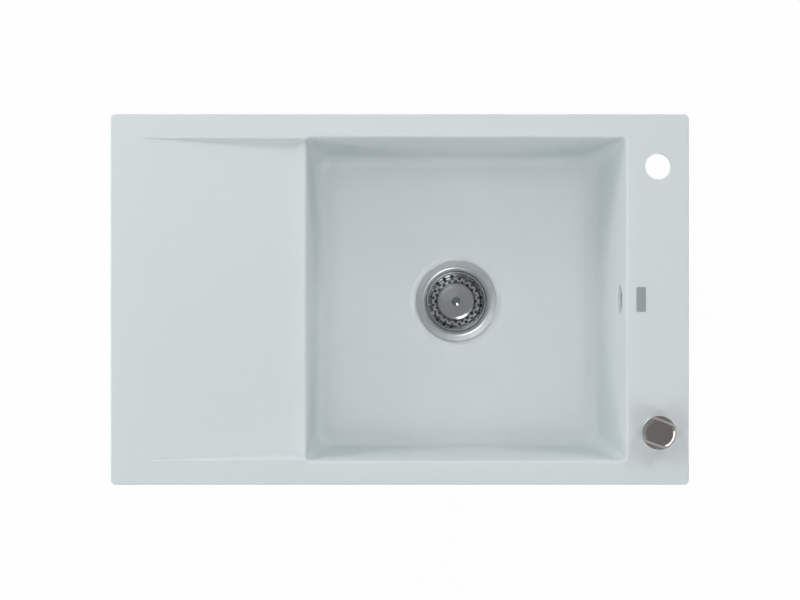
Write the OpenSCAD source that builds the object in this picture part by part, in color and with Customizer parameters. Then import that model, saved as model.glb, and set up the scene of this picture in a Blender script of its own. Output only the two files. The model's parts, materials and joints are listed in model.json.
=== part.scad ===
// Inset kitchen sink: a bowl, a sloping drainer, and a rotary control that lifts the basket in the drain.
// Millimetres. The origin is the middle of the sink, on the worktop's surface that the rim rests on.
// +X is to the right, +Y to the back and +Z up, for someone who stands at the sink.

/* [Rim and deck] */
// Width of the sink, left to right
sink_w = 780; // [760:5:860]
// Depth of the sink, front to back
sink_d = 500; // [490:5:540]
// Radius of the sink's corners, seen from above
corner_r = 7; // [4:1:12]
// Height of the rim over the worktop
rim_h = 9; // [8:0.5:12]
// Radius that rounds the rim's upper edge
rim_edge_r = 2; // [1:0.5:3]
// Width of the flat ring under the rim that lies on the worktop
land_w = 12; // [11:0.5:14]
// How far the deck reaches down inside the worktop's cut-out
step_h = 4; // [3:0.5:6]
// Width of the groove for the sealing strip
strip_w = 6; // [4:0.5:7]
// Depth of the groove for the sealing strip
strip_h = 2; // [1.5:0.5:3]

/* [Bowl] */
// Width of the ledge to the right of the bowl
ledge_w = 85; // [82:1:100]
// Width of the bowl's mouth, left to right
bowl_w = 431; // [400:1:440]
// Depth of the bowl's mouth and of the drainer, front to back
bowl_d = 435; // [400:1:440]
// Depth of the bowl's floor below the rim
bowl_depth = 200; // [170:5:220]
// How far the left wall leans in on its way down
left_lean = 6; // [3:1:12]
// How far the right wall leans in on its way down
right_lean = 21; // [12:1:24]
// How far the front and back walls lean in on their way down
side_lean = 11; // [5:1:16]
// Radius of the bowl's upright corners above the floor
bowl_corner_r = 25; // [24:1:40]
// Radius of the bowl's upright corners at its mouth
mouth_corner_r = 5; // [4:0.5:10]
// Radius between the bowl's floor and its walls
floor_fillet_r = 22; // [15:1:24]
// Size of the rounded edge around the bowl's mouth
mouth_edge = 4; // [2:0.5:6]
// Thickness of the bowl's walls
wall_t = 8; // [6:0.5:9]
// Thickness of the bowl's floor
floor_t = 10; // [8:0.5:12]

/* [Drainer] */
// Length of the drainer, from its left end to the ridge beside the bowl
drainer_w = 227; // [190:1:230]
// How far the ridge lies below the rim
ridge_drop = 13; // [10:0.5:16]
// Width of the drainer's sloping side walls at the ridge, seen from above
drainer_side_w = 17; // [8:1:24]
// Thickness of the drainer's floor
drainer_t = 9; // [7:0.5:11]
// Radius that rounds the ridge
ridge_r = 5; // [3:0.5:7]

/* [Holes in the ledge] */
// Diameter of the tap hole and of the hole under the knob
ledge_hole_d = 35; // [34.5:0.5:36]
// Distance from the sink's right edge to both holes' centres
hole_from_side = 41.5; // [38:0.5:46]
// Distance from the sink's front or back edge to the nearest hole's centre
hole_from_end = 70.5; // [60:0.5:90]
// Width of the metal plate on the ledge
plate_w = 12.5; // [10:0.5:20]
// Length of the metal plate on the ledge, front to back
plate_l = 33.5; // [20:0.5:60]
// Distance from the sink's right edge to the middle of the metal plate
plate_from_side = 64.5; // [60:0.5:68]
// Thickness of the metal plate
plate_t = 0.6; // [0.4:0.1:1]
// How far the metal plate is let into the ledge
plate_sunk = 0.4; // [0.2:0.05:0.6]

/* [Strainer cup] */
// Diameter of the drain hole through the bowl's floor
drain_hole_d = 90; // [90:0.5:92]
// Diameter of the cup's flange
flange_d = 114; // [112:0.5:116]
// Width of the flange's flat ring
flange_w = 9.6; // [8.5:0.2:11]
// Depth of the seat that the flange is let into
seat_h = 2.5; // [2:0.25:4]
// Width of the soft slope around the seat
seat_slope_w = 8; // [4:1:12]
// Thickness of the seal under the flange
cup_seal_t = 1; // [0.5:0.25:1.5]
// Thickness of the cup's steel
cup_t = 1.2; // [0.8:0.1:1.4]
// Inner radius of the cup
cup_r = 43.2; // [42.8:0.1:43.4]
// Inner radius of the cup below the basket's seat
throat_r = 37.2; // [36.8:0.1:37.8]
// Depth of the cup, from the flange to its bottom
cup_depth = 48; // [46:1:54]

/* [Basket] */
// Gap around the basket's rim
basket_gap = 0.8; // [0.6:0.1:1]
// How far the basket's rim lies below the flange
basket_sunk = 6.5; // [5:0.5:8]
// Depth of the basket
basket_depth = 24; // [22:0.5:25]
// Thickness of the basket's steel
basket_t = 0.9; // [0.7:0.1:1.1]
// Radius of the basket at its foot
foot_r = 36.4; // [36:0.1:36.8]
// Radius of the raised disc in the middle of the basket
disc_r = 26; // [24:0.5:28]
// Height of the raised disc over the basket's foot
disc_h = 10; // [8:0.5:11]
// Holes in each of the basket's two rows
basket_holes = 20; // [12:1:22]
// Diameter of the basket's holes
basket_hole_d = 4.4; // [3.5:0.1:4.6]
// Diameter of the small grip in the middle of the basket
grip_d = 12.8; // [10:0.2:16]
// Height of the small grip over the disc
grip_h = 6; // [4:0.5:9]

/* [Waste body] */
// Thickness of the gasket between the sink's floor and the waste body
floor_gasket_t = 3; // [2:0.5:4]
// Radius of the waste body's upper flange
waste_flange_r = 60; // [59:0.5:64]
// Thickness of the waste body's upper flange
waste_flange_t = 5; // [4:0.5:6]
// Inner radius of the waste body
waste_r = 47.5; // [47:0.5:49]
// Wall thickness of the waste body
waste_t = 3; // [2.5:0.25:4]
// Height of the waste body, from its upper flange to its cone
waste_h = 66; // [64:1:76]
// Height of the cone between the waste body and its outlet
cone_h = 10; // [8:1:16]
// Outer radius of the threaded outlet
outlet_r = 23.9; // [23.9:0.1:24.2]
// Inner radius of the outlet
outlet_bore_r = 20; // [18:0.5:21]
// Length of the outlet's thread
outlet_l = 24; // [20:1:30]
// Outer radius of the pipe stub that the overflow hose fits on
stub_r = 9.2; // [8.8:0.1:9.4]
// Inner radius of the pipe stub
stub_bore_r = 7; // [6:0.25:7.5]
// Length of the pipe stub inside the hose
stub_l = 18; // [14:1:20]
// Height of the overflow port's middle below the sink's floor
port_drop = 35; // [34:1:36]
// Radius of the circle that the three cup screws lie on
screw_circle_r = 31.5; // [31:0.5:32]

/* [Lift gear] */
// How far the control lifts the basket
lift = 9; // [6:0.5:10]
// Length of the lift finger and of the crank, from the rocker shaft to their ends
arm = 18.6; // [17:0.2:20]
// Depth of the rocker shaft below the sink's floor
shaft_drop = 61; // [60:0.5:64]
// Radius of the rocker shaft
shaft_r = 3; // [2.5:0.25:3.5]
// Radius of the lift pin
pin_r = 3; // [2.5:0.25:3.5]
// Radius of the lift pin's head
pin_head_r = 7; // [6:0.5:8]
// Thickness of the lift pin's head
pin_head_t = 3; // [2:0.5:4]
// Distance of the crank and the cable from the drain's middle
cable_side = 58; // [58:0.5:62]
// Distance of the cable's bracket from the drain's middle
bracket_x = 55; // [54:0.5:58]
// Thickness of the cable's bracket
bracket_t = 4; // [3:0.5:5]

/* [Overflow] */
// Depth of the overflow's middle below the rim
overflow_drop = 46; // [42:1:60]
// Diameter of the overflow's dished recess
dish_d = 40; // [36:1:44]
// Depth of the overflow's dished recess
dish_h = 8; // [6:0.5:9]
// Thickness of the wall behind the recess
dish_back_t = 6; // [5:0.5:8]
// Diameter of the hole behind the rosette
overflow_hole_d = 28; // [24:1:30]
// Thickness of the rosette
rosette_t = 2.5; // [2:0.25:3.5]
// Depth of the elbow behind the bowl's wall
elbow_h = 26; // [25:0.5:28]
// Wall thickness of the elbow
elbow_t = 2.5; // [2:0.25:3]
// Radius of the hose's bore at its corners
hose_bore_r = 10.4; // [10.4:0.1:10.8]
// Radius of the hose over its ribs and cuffs
hose_r = 14; // [13.5:0.25:14.5]
// Depth of the groove between two ribs of the hose
rib_h = 1.6; // [1:0.1:1.8]
// Distance from one rib of the hose to the next
rib_pitch = 4.6; // [4.4:0.1:8]
// Radius of the hose's bend, along its middle
hose_bend_r = 58; // [56:1:62]

/* [Knob] */
// Diameter of the control knob
knob_d = 45.5; // [44:0.5:48]
// Height of the control knob
knob_h = 20; // [16:0.5:28]
// Width of the bar across the knob that the fingers hold
bar_w = 28; // [22:0.5:32]
// Radius of the hollows beside the bar
hollow_r = 12; // [10:0.5:16]
// Depth of the hollows below the knob's top
hollow_h = 9; // [6:0.5:10]
// Angle of the bar at rest, seen from above
bar_angle = -20; // [-90:5:90]
// Height of the ring under the knob
base_ring_h = 3.2; // [3.2:0.1:4]
// How far the ring under the knob stands out from it
base_ring_out = 0.8; // [0.4:0.1:2]
// Quarter turn of the knob that opens the drain
knob_turn = 90; // [60:5:120]

/* [Knob drive] */
// Thickness of the seal under the sleeve's flange
deck_seal_t = 1; // [0.5:0.25:1.5]
// Outer radius of the actuator sleeve
sleeve_r = 16; // [15.75:0.05:16.2]
// Inner radius of the actuator sleeve
sleeve_bore_r = 12.7; // [12.5:0.05:13]
// Radius of the sleeve's flange
sleeve_flange_r = 21; // [20:0.25:21]
// Thickness of the sleeve's flange
sleeve_flange_t = 2; // [1.5:0.1:2.1]
// Length of the sleeve below the worktop's surface
sleeve_l = 64; // [64:1:76]
// Inner radius of the cam barrel
barrel_bore_r = 8; // [7.5:0.1:8.5]
// Depth of the cam pin at rest below the worktop's surface
cam_drop = 38; // [37:1:40]
// Radius of the cam pin
cam_pin_r = 2; // [1.5:0.1:2.2]
// Length of the cam slider
slider_l = 13; // [11:1:14]
// Width of the lock nut across its flats
nut_af = 42; // [40:1:48]
// Height of the lock nut
nut_h = 8; // [6:0.5:10]
// Radius of the washer under the ledge
washer_r = 27; // [24:1:30]
// Thickness of the washer under the ledge
washer_t = 2.5; // [1.5:0.5:3]

/* [Cable] */
// Radius of the cable's sheath
sheath_r = 3; // [2.5:0.25:3.5]
// Radius of the cable's inner wire
wire_r = 0.8; // [0.6:0.1:1]
// Radius of the ferrules on the sheath's ends
ferrule_r = 4; // [3.8:0.1:4.4]
// Length of each ferrule
ferrule_l = 20; // [18:1:24]
// How far the sheath runs on before it bends freely
sheath_reach = 130; // [110:5:140]

/* [Fixing clips] */
// Distance of the studs from the worktop cut-out's edge
stud_inset = 6.5; // [6.5:0.25:7]
// Distance of the outer front and back clips from the sink's ends
clip_from_end = 120; // [110:5:150]
// Radius of the studs
stud_r = 2.5; // [2:0.25:2.75]
// Depth of the studs' lower ends below the worktop's surface
stud_l = 56; // [50:1:64]
// Depth of the claws' underside below the worktop's surface
claw_drop = 36; // [32:1:36]
// Thickness of the claws' steel
claw_t = 3; // [2:0.5:4]
// Width of the claws
claw_w = 11; // [9:0.5:11]
// Length of the claws from the stud to the tip
claw_l = 22; // [18:1:26]
// Height of the claws' upturned tips
tooth_h = 5; // [3:0.5:7]
// Height of the wing nuts' hubs
wing_nut_h = 6; // [5:0.5:7]
// Length of each wing, from the stud's middle to its tip
wing_l = 9.5; // [8:0.5:10]
// Height of the wings
wing_h = 6; // [4:0.5:7]
// Thickness of the wings
wing_t = 2; // [1.5:0.25:3]

/* [Clearances] */
// Gap around a shaft, pin or slider that moves in its bore
run_gap = 0.05; // [0.03:0.01:0.08]
// Gap between curved pieces that move past each other
free_gap = 0.3; // [0.25:0.05:0.4]
// Gap around a fixed piece in its hole
fixed_gap = 0.1; // [0.05:0.05:0.2]

/* [Hidden] */
$fn = 64;
hull_fn = 32; // facets of a circle inside a hull
cut = 1; // how far a cut runs past the surface it opens
thin = 0.01; // thickness of a slice inside a hull

// Places seen from above
drainer_left = sink_w / 2 - ledge_w - bowl_w - drainer_w;
mouth_right = sink_w / 2 - ledge_w;
mouth_left = mouth_right - bowl_w;
ridge_x = mouth_left;
hole_x = sink_w / 2 - hole_from_side;
hole_y = sink_d / 2 - hole_from_end;
drain_x = (mouth_left + left_lean + mouth_right - right_lean) / 2;
step_w = sink_w - 2 * land_w;
step_d = sink_d - 2 * land_w;

// Heights in the bowl and the drain
floor_z = rim_h - bowl_depth;
under_z = floor_z - floor_t;
fillet_z = floor_z + floor_fillet_r;
seat_z = floor_z - seat_h;
flange_z = seat_z + cup_seal_t + cup_t;
cup_floor_z = flange_z - cup_depth;
lip_r = flange_d / 2 - flange_w;
lip_drop = 5;
hole_edge = 5; // chamfer between the flange's seat and the drain hole
seat_clear = 1; // gap around the flange in its seat

// Screws
screw_r = 2;
head_r = 4;
head_h = 2.2;
cup_screw_l = 18;
bracket_screw_l = 12;
bracket_head_r = 3.6;
bracket_screw_gap = 10; // distance between the bracket's two screws
overflow_screw_r = 2.5;
overflow_head_r = 4.5;

// Basket and its seal
basket_r = cup_r - basket_gap;
basket_z = flange_z - basket_sunk;
foot_z = basket_z - basket_depth;
disc_z = foot_z + disc_h;
disc_dome = 1.2;
disc_edge_h = 1.6;
seal_t = 1.6;
seal_lip_r = 38;
seal_r = basket_r - 0.6;
seal_low_z = foot_z - seal_t;
seal_high_z = seal_low_z + seal_r - seal_lip_r;
seat_high_z = seal_low_z + cup_r - sqrt(2) * free_gap - seal_lip_r;
seat_low_z = seat_high_z - (cup_r - throat_r);
hub_r = 9;
hub_z = seal_low_z - 2.9;
hub_top_z = disc_z - basket_t;
grip_stem_l = 8; // length of the grip's screw in the hub

// Waste body and lift gear
waste_z = under_z - floor_gasket_t;
cone_z = waste_z - waste_h;
outlet_z = cone_z - cone_h;
bottom_z = outlet_z - outlet_l;
shaft_x = arm;
shaft_z = under_z - shaft_drop;
swing = asin(lift / 2 / arm);
finger_r = 3;
guide_r = 6;
guide_l = 5;
guide_flange_r = 9;
guide_flange_t = 1.5;
pin_low_z = shaft_z - lift / 2 + finger_r + free_gap;
port_z = under_z - port_drop;
port_l = 12; // length of the overflow port's shoulder
port_x = waste_r + waste_t + port_l;
wire_z = shaft_z + arm * (1 + cos(swing)) / 2;
eye_gap = 0.6;
nipple_r = 2.5;
gland_y = 52;
gland_t = 3;
crank_t = 5;
lug_y = 22;
lug_w = 16;
lug_h = 16;
lug_root = 5; // how far the lug and the gland's boss reach through the wall
gland_boss_r = 8;
stub_step = 2; // shoulder that the hose's end lies against
ferrule_out = 4; // how far a ferrule stands out of its bracket towards the wire

// Overflow, in a frame of its own on the bowl's right wall
wall_lean = atan((right_lean) / (rim_h - fillet_z));
overflow_z = rim_h - overflow_drop;
overflow_x = mouth_right - right_lean * overflow_drop / (rim_h - fillet_z);
dish_back = dish_h + dish_back_t;
overflow_gasket_t = 2;
elbow_z = -dish_back - overflow_gasket_t;
elbow_r = 24;
stub_z = elbow_z - elbow_h / 2;
stub_start = 30;
overflow_screw_in = 10; // length of the screw inside the elbow

// Knob and its drive, in a frame at the knob's hole
sleeve_top = rim_h + deck_seal_t + sleeve_flange_t;
knob_z = rim_h + base_ring_h + 0.4;
knob_top = knob_z + knob_h;
barrel_r = sleeve_bore_r - run_gap;
barrel_low = -sleeve_l + 8;
barrel_top = sleeve_top - 1;
circlip_gap = 0.1;
circlip_t = 1.2;
circlip_groove = 1; // depth of the circlip's groove in the sleeve
circlip_top = barrel_low - circlip_gap;
circlip_low = circlip_top - circlip_t;
stem_r = 7;
stem_in = 12; // length of the barrel's stem inside the knob
stem_top = knob_z + stem_in;
cam_z = -cam_drop;
slot_r = cam_pin_r + run_gap;
cam_slot_r = cam_pin_r + free_gap / 2;
guide_out_r = sleeve_bore_r + 2.1;
slider_low = cam_z - slider_l / 2;
cap_r = 18.5;
cap_h = 12;
cap_t = 4;
ferrule_top = -sleeve_l + 1;
wire_in = lift + 3;

// Fixing clips
clip_spread = sink_w / 2 - clip_from_end;
stud_x = step_w / 2 - stud_inset;
stud_y = step_d / 2 - stud_inset;
block_w = 16;
block_h = 10;
block_gap = 0.5; // from a block's side to the edge of the deck's step
insert_r = 4.5;
insert_l = 9;
insert_sunk = 0.5; // room left over an insert at the bottom of its hole
wing_nut_r = 4.5;
wing_root = 0.5; // from the wings' lower corners to the hub's edges

// Shared shapes

module rounded_rectangle(w, d, r) {
    square([w - 2 * r, d], center = true);
    square([w, d - 2 * r], center = true);
    for (x = [-1, 1], y = [-1, 1])
        translate([x * (w / 2 - r), y * (d / 2 - r)]) circle(r);
}

module slab(w, d, r, low, high) {
    translate([0, 0, low]) linear_extrude(high - low) rounded_rectangle(w, d, r);
}

module ring(inner_r, outer_r, low, high) {
    difference() {
        translate([0, 0, low]) cylinder(r = outer_r, h = high - low);
        translate([0, 0, low - cut]) cylinder(r = inner_r, h = high - low + 2 * cut);
    }
}

module rod(r, low, high) {
    translate([0, 0, low]) cylinder(r = r, h = high - low);
}

module turned(outline) {
    rotate_extrude() polygon(outline);
}

// Frames of the sub-assemblies

module at_drain() {
    translate([drain_x, 0, 0]) children();
}

module at_knob() {
    translate([hole_x, -hole_y, 0]) children();
}

// Its Z leaves the bowl's right wall into the bowl, and its X points up that wall
module at_overflow() {
    translate([overflow_x, 0, overflow_z]) rotate([0, wall_lean - 90, 0]) children();
}

// Its Y runs along the rocker shaft, and its Z along the crank at mid travel
module at_rocker(angle = 0) {
    translate([drain_x + shaft_x, 0, shaft_z]) rotate([0, angle, 0]) children();
}

// A rod along Y between two distances towards the front
module cross_rod(r, near, far) {
    translate([0, -near, 0]) rotate([90, 0, 0]) cylinder(r = r, h = far - near);
}

// Sink body

// 0 at the bowl's mouth and 1 where the floor's fillet starts
function leaned(z) = min(1, (rim_h - z) / (rim_h - fillet_z));

module bowl_slice(z, lean, grow, inset, h, corner = bowl_corner_r) {
    left = mouth_left + left_lean * lean - grow + inset;
    right = mouth_right - right_lean * lean + grow - inset;
    half = bowl_d / 2 - side_lean * lean + grow - inset;
    translate([(left + right) / 2, 0, z]) linear_extrude(h)
        rounded_rectangle(right - left, 2 * half, max(1, corner + grow - inset), $fn = hull_fn);
}

module bowl_form(grow, low, high) {
    r = floor_fillet_r + grow;
    hull() {
        bowl_slice(high, leaned(high), grow, 0, cut, mouth_corner_r);
        for (a = [0:15:90])
            bowl_slice(low + r - r * sin(a), 1, grow, r * (1 - cos(a)), thin);
    }
}

// A bevel that meets the wall where the mouth's rounded edge ends, and runs on past it.
// Its corners are a little rounder than the wall's, so that no edge of the one lies on an edge of the other.
module bowl_mouth_edge() {
    corner = mouth_corner_r + 1.5;
    low = rim_h - mouth_edge - cut;
    hull() {
        bowl_slice(rim_h, 0, mouth_edge, 0, cut, corner);
        bowl_slice(low, leaned(low), -cut, 0, thin, corner);
    }
}

function drainer_drop(x) = ridge_drop * (x - drainer_left) / drainer_w;

module drainer_space() {
    end_x = ridge_x + wall_t;
    depth = drainer_drop(end_x);
    side = drainer_side_w * depth / ridge_drop;
    hull() {
        translate([drainer_left, -bowl_d / 2, rim_h]) cube([end_x - drainer_left, bowl_d, cut]);
        translate([end_x - thin, -bowl_d / 2 + side, rim_h - depth]) cube([thin, bowl_d - 2 * side, cut]);
    }
}

module drainer_underside() {
    start_x = drainer_left + drainer_w * (rim_h - drainer_t + step_h) / ridge_drop;
    rotate([90, 0, 0]) linear_extrude(bowl_d + 2 * wall_t, center = true) polygon([
        [start_x, -step_h],
        [start_x, -step_h + cut],
        [ridge_x, -step_h + cut],
        [ridge_x, rim_h - ridge_drop - drainer_t]
    ]);
}

module ridge_round() {
    slope = atan(ridge_drop / drainer_w);
    translate([ridge_x, 0, rim_h - ridge_drop]) rotate([0, slope, 0]) rotate([90, 0, 0])
        linear_extrude(bowl_d - 2 * drainer_side_w, center = true) difference() {
            translate([-ridge_r, -ridge_r]) square([ridge_r + cut, ridge_r + cut]);
            translate([-ridge_r, -ridge_r]) circle(ridge_r);
        }
}

module stud_places() {
    for (y = [-1, 1], x = [-1, 0, 1])
        translate([x * clip_spread, y * stud_y, 0]) children();
    for (x = [-1, 1])
        translate([x * stud_x, 0, 0]) rotate([0, 0, 90]) children();
}

// A slice of the rim's rounded upper edge, at an angle from its side to its top
module rim_slice(angle) {
    inset = rim_edge_r * (1 - cos(angle));
    high = rim_h - rim_edge_r * (1 - sin(angle));
    slab(sink_w - 2 * inset, sink_d - 2 * inset, corner_r - inset, high - thin, high, $fn = hull_fn);
}

module rim_plate() {
    slab(sink_w, sink_d, corner_r, 0, rim_h - rim_edge_r);
    hull() {
        rim_slice(0);
        rim_slice(45);
        rim_slice(90);
    }
}

module strip_ring(gap) {
    middle = land_w / 2;
    outer = middle - strip_w / 2 + gap;
    inner = middle + strip_w / 2 - gap;
    bend = corner_r + strip_w / 2;
    difference() {
        slab(sink_w - 2 * outer, sink_d - 2 * outer, bend - gap, -cut, strip_h);
        slab(sink_w - 2 * inner, sink_d - 2 * inner, bend - strip_w + gap, -2 * cut, strip_h + cut);
    }
}

module sink_body() {
    color("#c9d1d3") difference() {
        union() {
            rim_plate();
            slab(step_w, step_d, corner_r, -step_h, cut);
            bowl_form(wall_t, under_z, -cut);
            drainer_underside();
            at_overflow() rod(dish_d / 2 + wall_t, -dish_back, -wall_t / 4);
            stud_places() translate([0, 0, -step_h - block_h / 2 + cut / 2])
                cube([block_w, 2 * (stud_inset - block_gap), block_h + cut], center = true);
        }
        bowl_form(0, floor_z, rim_h);
        bowl_mouth_edge();
        drainer_space();
        ridge_round();
        strip_ring(0);
        translate([hole_x, hole_y, 0]) rod(ledge_hole_d / 2, -step_h - cut, rim_h + cut);
        at_knob() rod(ledge_hole_d / 2, -step_h - cut, rim_h + cut);
        plate_space(fixed_gap, rim_h - plate_sunk, rim_h + cut);
        at_drain() turned([
            [0, under_z - cut],
            [drain_hole_d / 2, under_z - cut],
            [drain_hole_d / 2, seat_z - hole_edge],
            [drain_hole_d / 2 + hole_edge, seat_z],
            [flange_d / 2 + seat_clear, seat_z],
            [flange_d / 2 + seat_clear + seat_slope_w, floor_z + thin],
            [0, floor_z + thin]
        ]);
        at_overflow() {
            rod(dish_d / 2, -dish_h, dish_h);
            rod(overflow_hole_d / 2, -dish_back - cut, 0);
        }
        stud_places() rod(insert_r + fixed_gap, -step_h - block_h - cut, -step_h - block_h + insert_l);
    }
}

module plate_space(gap, low, high) {
    translate([sink_w / 2 - plate_from_side, 0, 0])
        slab(plate_w + 2 * gap, plate_l + 2 * gap, 1, low, high);
}

module name_plate() {
    color("#8f9496") plate_space(0, rim_h - plate_sunk, rim_h - plate_sunk + plate_t);
}

module sealing_strip() {
    color("#2b2d2e") intersection() {
        strip_ring(fixed_gap);
        slab(sink_w, sink_d, corner_r, 0, strip_h);
    }
}

// Strainer cup

module strainer_cup() {
    t = cup_t;
    outer_hole_r = 6;
    outer_circle_r = screw_circle_r - 1.5;
    inner_hole_r = 4;
    inner_circle_r = 16;
    low = cup_floor_z - 2 * t;
    high = cup_floor_z + t;
    color("#b6bbbd") at_drain() difference() {
        turned([
            [flange_d / 2, flange_z],
            [lip_r, flange_z],
            [cup_r, flange_z - lip_drop],
            [cup_r, seat_high_z],
            [throat_r, seat_low_z],
            [throat_r, cup_floor_z],
            [0, cup_floor_z],
            [0, cup_floor_z - t],
            [throat_r + t, cup_floor_z - t],
            [throat_r + t, seat_low_z - t / 2],
            [cup_r + t, seat_high_z - t / 2],
            [cup_r + t, flange_z - lip_drop - t / 2],
            [lip_r + t / 2, flange_z - t],
            [flange_d / 2, flange_z - t]
        ]);
        rod(guide_r + fixed_gap, low, high);
        screw_places() rod(screw_r + free_gap, low, high);
        for (third = [0:120:240], a = [35, 60, 85])
            rotate(third + a) translate([outer_circle_r, 0, 0]) rod(outer_hole_r, low, high);
        for (a = [30:60:330])
            rotate(a) translate([inner_circle_r, 0, 0]) rod(inner_hole_r, low, high);
    }
}

module screw_places() {
    for (a = [0:120:240])
        rotate(a) translate([screw_circle_r, 0, 0]) children();
}

module cup_seal() {
    color("#37393a") at_drain()
        ring(drain_hole_d / 2 + hole_edge + fixed_gap, flange_d / 2 - fixed_gap, seat_z, seat_z + cup_seal_t);
}

module floor_gasket() {
    color("#2f3132") at_drain()
        ring(drain_hole_d / 2 + fixed_gap, waste_flange_r - 2, waste_z, under_z);
}

// Waste body

module waste_body() {
    post_r = 4.5;
    wall_r = waste_r + waste_t / 2;
    post_sunk = 0.5; // how far the posts reach into the cone's wall
    boss_start = sqrt(pow(waste_r, 2) - pow(shaft_x + gland_boss_r, 2)) - lug_root / 2;
    seal_room = 2.5;
    color("#e4e6e4") at_drain() difference() {
        union() {
            turned([
                [waste_flange_r, waste_z],
                [waste_r, waste_z],
                [waste_r, cone_z],
                [outlet_bore_r, outlet_z],
                [outlet_bore_r, bottom_z],
                [outlet_r, bottom_z],
                [outlet_r, outlet_z - waste_t / 2],
                [waste_r + waste_t, cone_z - waste_t / 2],
                [waste_r + waste_t, waste_z - waste_flange_t],
                [waste_flange_r, waste_z - waste_flange_t]
            ]);
            intersection() {
                screw_places() rod(post_r, outlet_z, cup_floor_z - cup_t);
                turned([
                    [0, waste_z],
                    [wall_r, waste_z],
                    [wall_r, cone_z - post_sunk],
                    [outlet_bore_r + 2 * post_sunk, outlet_z - post_sunk],
                    [0, outlet_z - post_sunk]
                ]);
            }
            difference() {
                union() {
                    translate([0, 0, port_z]) rotate([0, 90, 0]) {
                        cylinder(r = stub_r + stub_step, h = port_x);
                        cylinder(r = stub_r, h = port_x + stub_l);
                    }
                    translate([shaft_x, 0, shaft_z]) cross_rod(gland_boss_r, boss_start, gland_y);
                    translate([waste_r - lug_root, -lug_y - lug_w / 2, wire_z - lug_h / 2])
                        cube([bracket_x - waste_r + lug_root, lug_w, lug_h]);
                }
                rod(wall_r, cone_z - waste_t, waste_z);
            }
        }
        translate([waste_r - 2, 0, port_z]) rotate([0, 90, 0]) cylinder(r = stub_bore_r, h = port_x);
        translate([shaft_x, 0, shaft_z]) {
            cross_rod(shaft_r + run_gap, boss_start - cut, gland_y + cut);
            cross_rod(shaft_r + seal_room, gland_y - seal_room, gland_y + cut);
        }
        screw_places() rod(screw_r + run_gap, cup_floor_z - cup_screw_l - cut, cup_floor_z);
        bracket_screw_places() cylinder(r = screw_r + run_gap, h = bracket_screw_l + cut);
    }
}

// Z runs into the lug, from the bracket's outer face
module bracket_screw_places() {
    for (side = [-1, 1])
        translate([bracket_x + bracket_t, -lug_y, wire_z + side * bracket_screw_gap / 2])
            rotate([0, -90, 0]) children();
}

module cup_screws() {
    color("#a7abad") at_drain() screw_places() {
        rod(screw_r, cup_floor_z - cup_screw_l, cup_floor_z);
        rod(head_r, cup_floor_z, cup_floor_z + head_h);
    }
}

module pin_guide() {
    low = cup_floor_z - cup_t - guide_l;
    high = cup_floor_z + guide_flange_t;
    color("#e4e6e4") at_drain() difference() {
        union() {
            rod(guide_r, low, cup_floor_z);
            rod(guide_flange_r, cup_floor_z, high);
        }
        rod(pin_r + run_gap, low - cut, high + cut);
    }
}

// Basket

module basket() {
    t = basket_t;
    rim_w = 2.2;
    hole_margin = 0.25; // from a hole's edge to the bends beside the perforated ring
    rows = [disc_r + basket_hole_d / 2 + hole_margin, foot_r - t - basket_hole_d / 2 - hole_margin];
    color("#9ca1a3") at_drain() difference() {
        turned([
            [basket_r, basket_z],
            [basket_r - rim_w, basket_z],
            [foot_r - t, foot_z + t],
            [disc_r, disc_z - disc_edge_h],
            [disc_r - 0.5, disc_z],
            [0, disc_z + disc_dome],
            [0, hub_top_z],
            [hub_r + 1, hub_top_z],
            [disc_r - t - 0.5, disc_z - t],
            [disc_r - 0.6, disc_z - disc_edge_h - 0.7],
            [foot_r - 1.5, foot_z + 0.1],
            [foot_r - 0.8, foot_z],
            [foot_r, foot_z + 0.5],
            [basket_r - 1.3, basket_z - t],
            [basket_r, basket_z - t]
        ]);
        for (row = [0, 1], i = [0:basket_holes - 1])
            rotate((i + row / 2) * 360 / basket_holes)
                translate([rows[row], 0, 0]) rod(basket_hole_d / 2, foot_z - cut, disc_z);
        rod(screw_r + run_gap, foot_z - cut, disc_z + disc_dome + cut);
    }
}

module basket_seal() {
    edge_h = 1.2;
    grip = 0.7; // from the basket's foot to the seal around it
    color("#3a3c3d") at_drain() turned([
        [foot_r - seal_t, seal_low_z],
        [seal_lip_r, seal_low_z],
        [seal_r, seal_high_z],
        [seal_r, seal_high_z + edge_h],
        [foot_r + grip, seal_high_z + edge_h],
        [foot_r + grip, foot_z],
        [foot_r - seal_t, foot_z]
    ]);
}

module basket_hub() {
    color("#e4e6e4") at_drain() difference() {
        rod(hub_r, hub_z, hub_top_z);
        rod(screw_r + run_gap, hub_top_z - grip_stem_l - cut, hub_top_z + cut);
    }
}

module basket_knob() {
    r = grip_d / 2;
    low = disc_z + disc_dome;
    color("#b9bec0") at_drain() turned([
        [0, hub_top_z - grip_stem_l],
        [screw_r, hub_top_z - grip_stem_l],
        [screw_r, low],
        [r * 0.62, low],
        [r * 0.62, low + grip_h * 0.35],
        [r * 0.94, low + grip_h * 0.55],
        [r, low + grip_h * 0.75],
        [r * 0.85, low + grip_h * 0.95],
        [0, low + grip_h]
    ]);
}

// Lift gear

module lift_pin() {
    color("#c9c4b4") at_drain() {
        rod(pin_r, pin_low_z, hub_z);
        rod(pin_head_r, hub_z - pin_head_t, hub_z);
    }
}

module lift_finger() {
    hub = 6;
    half = 3;
    web = 4.4;
    color("#d8d4c4") at_rocker(-swing) difference() {
        union() {
            cross_rod(hub, -half, half);
            translate([-arm, -half, -web / 2]) cube([arm, 2 * half, web]);
            translate([-arm, 0, 0]) cross_rod(finger_r, -half, half);
        }
        cross_rod(shaft_r + run_gap, -half - cut, half + cut);
    }
}

module rocker_shaft() {
    past_finger = 6;
    color("#a7abad") at_rocker(-swing) cross_rod(shaft_r, -past_finger, cable_side + crank_t / 2);
}

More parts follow.
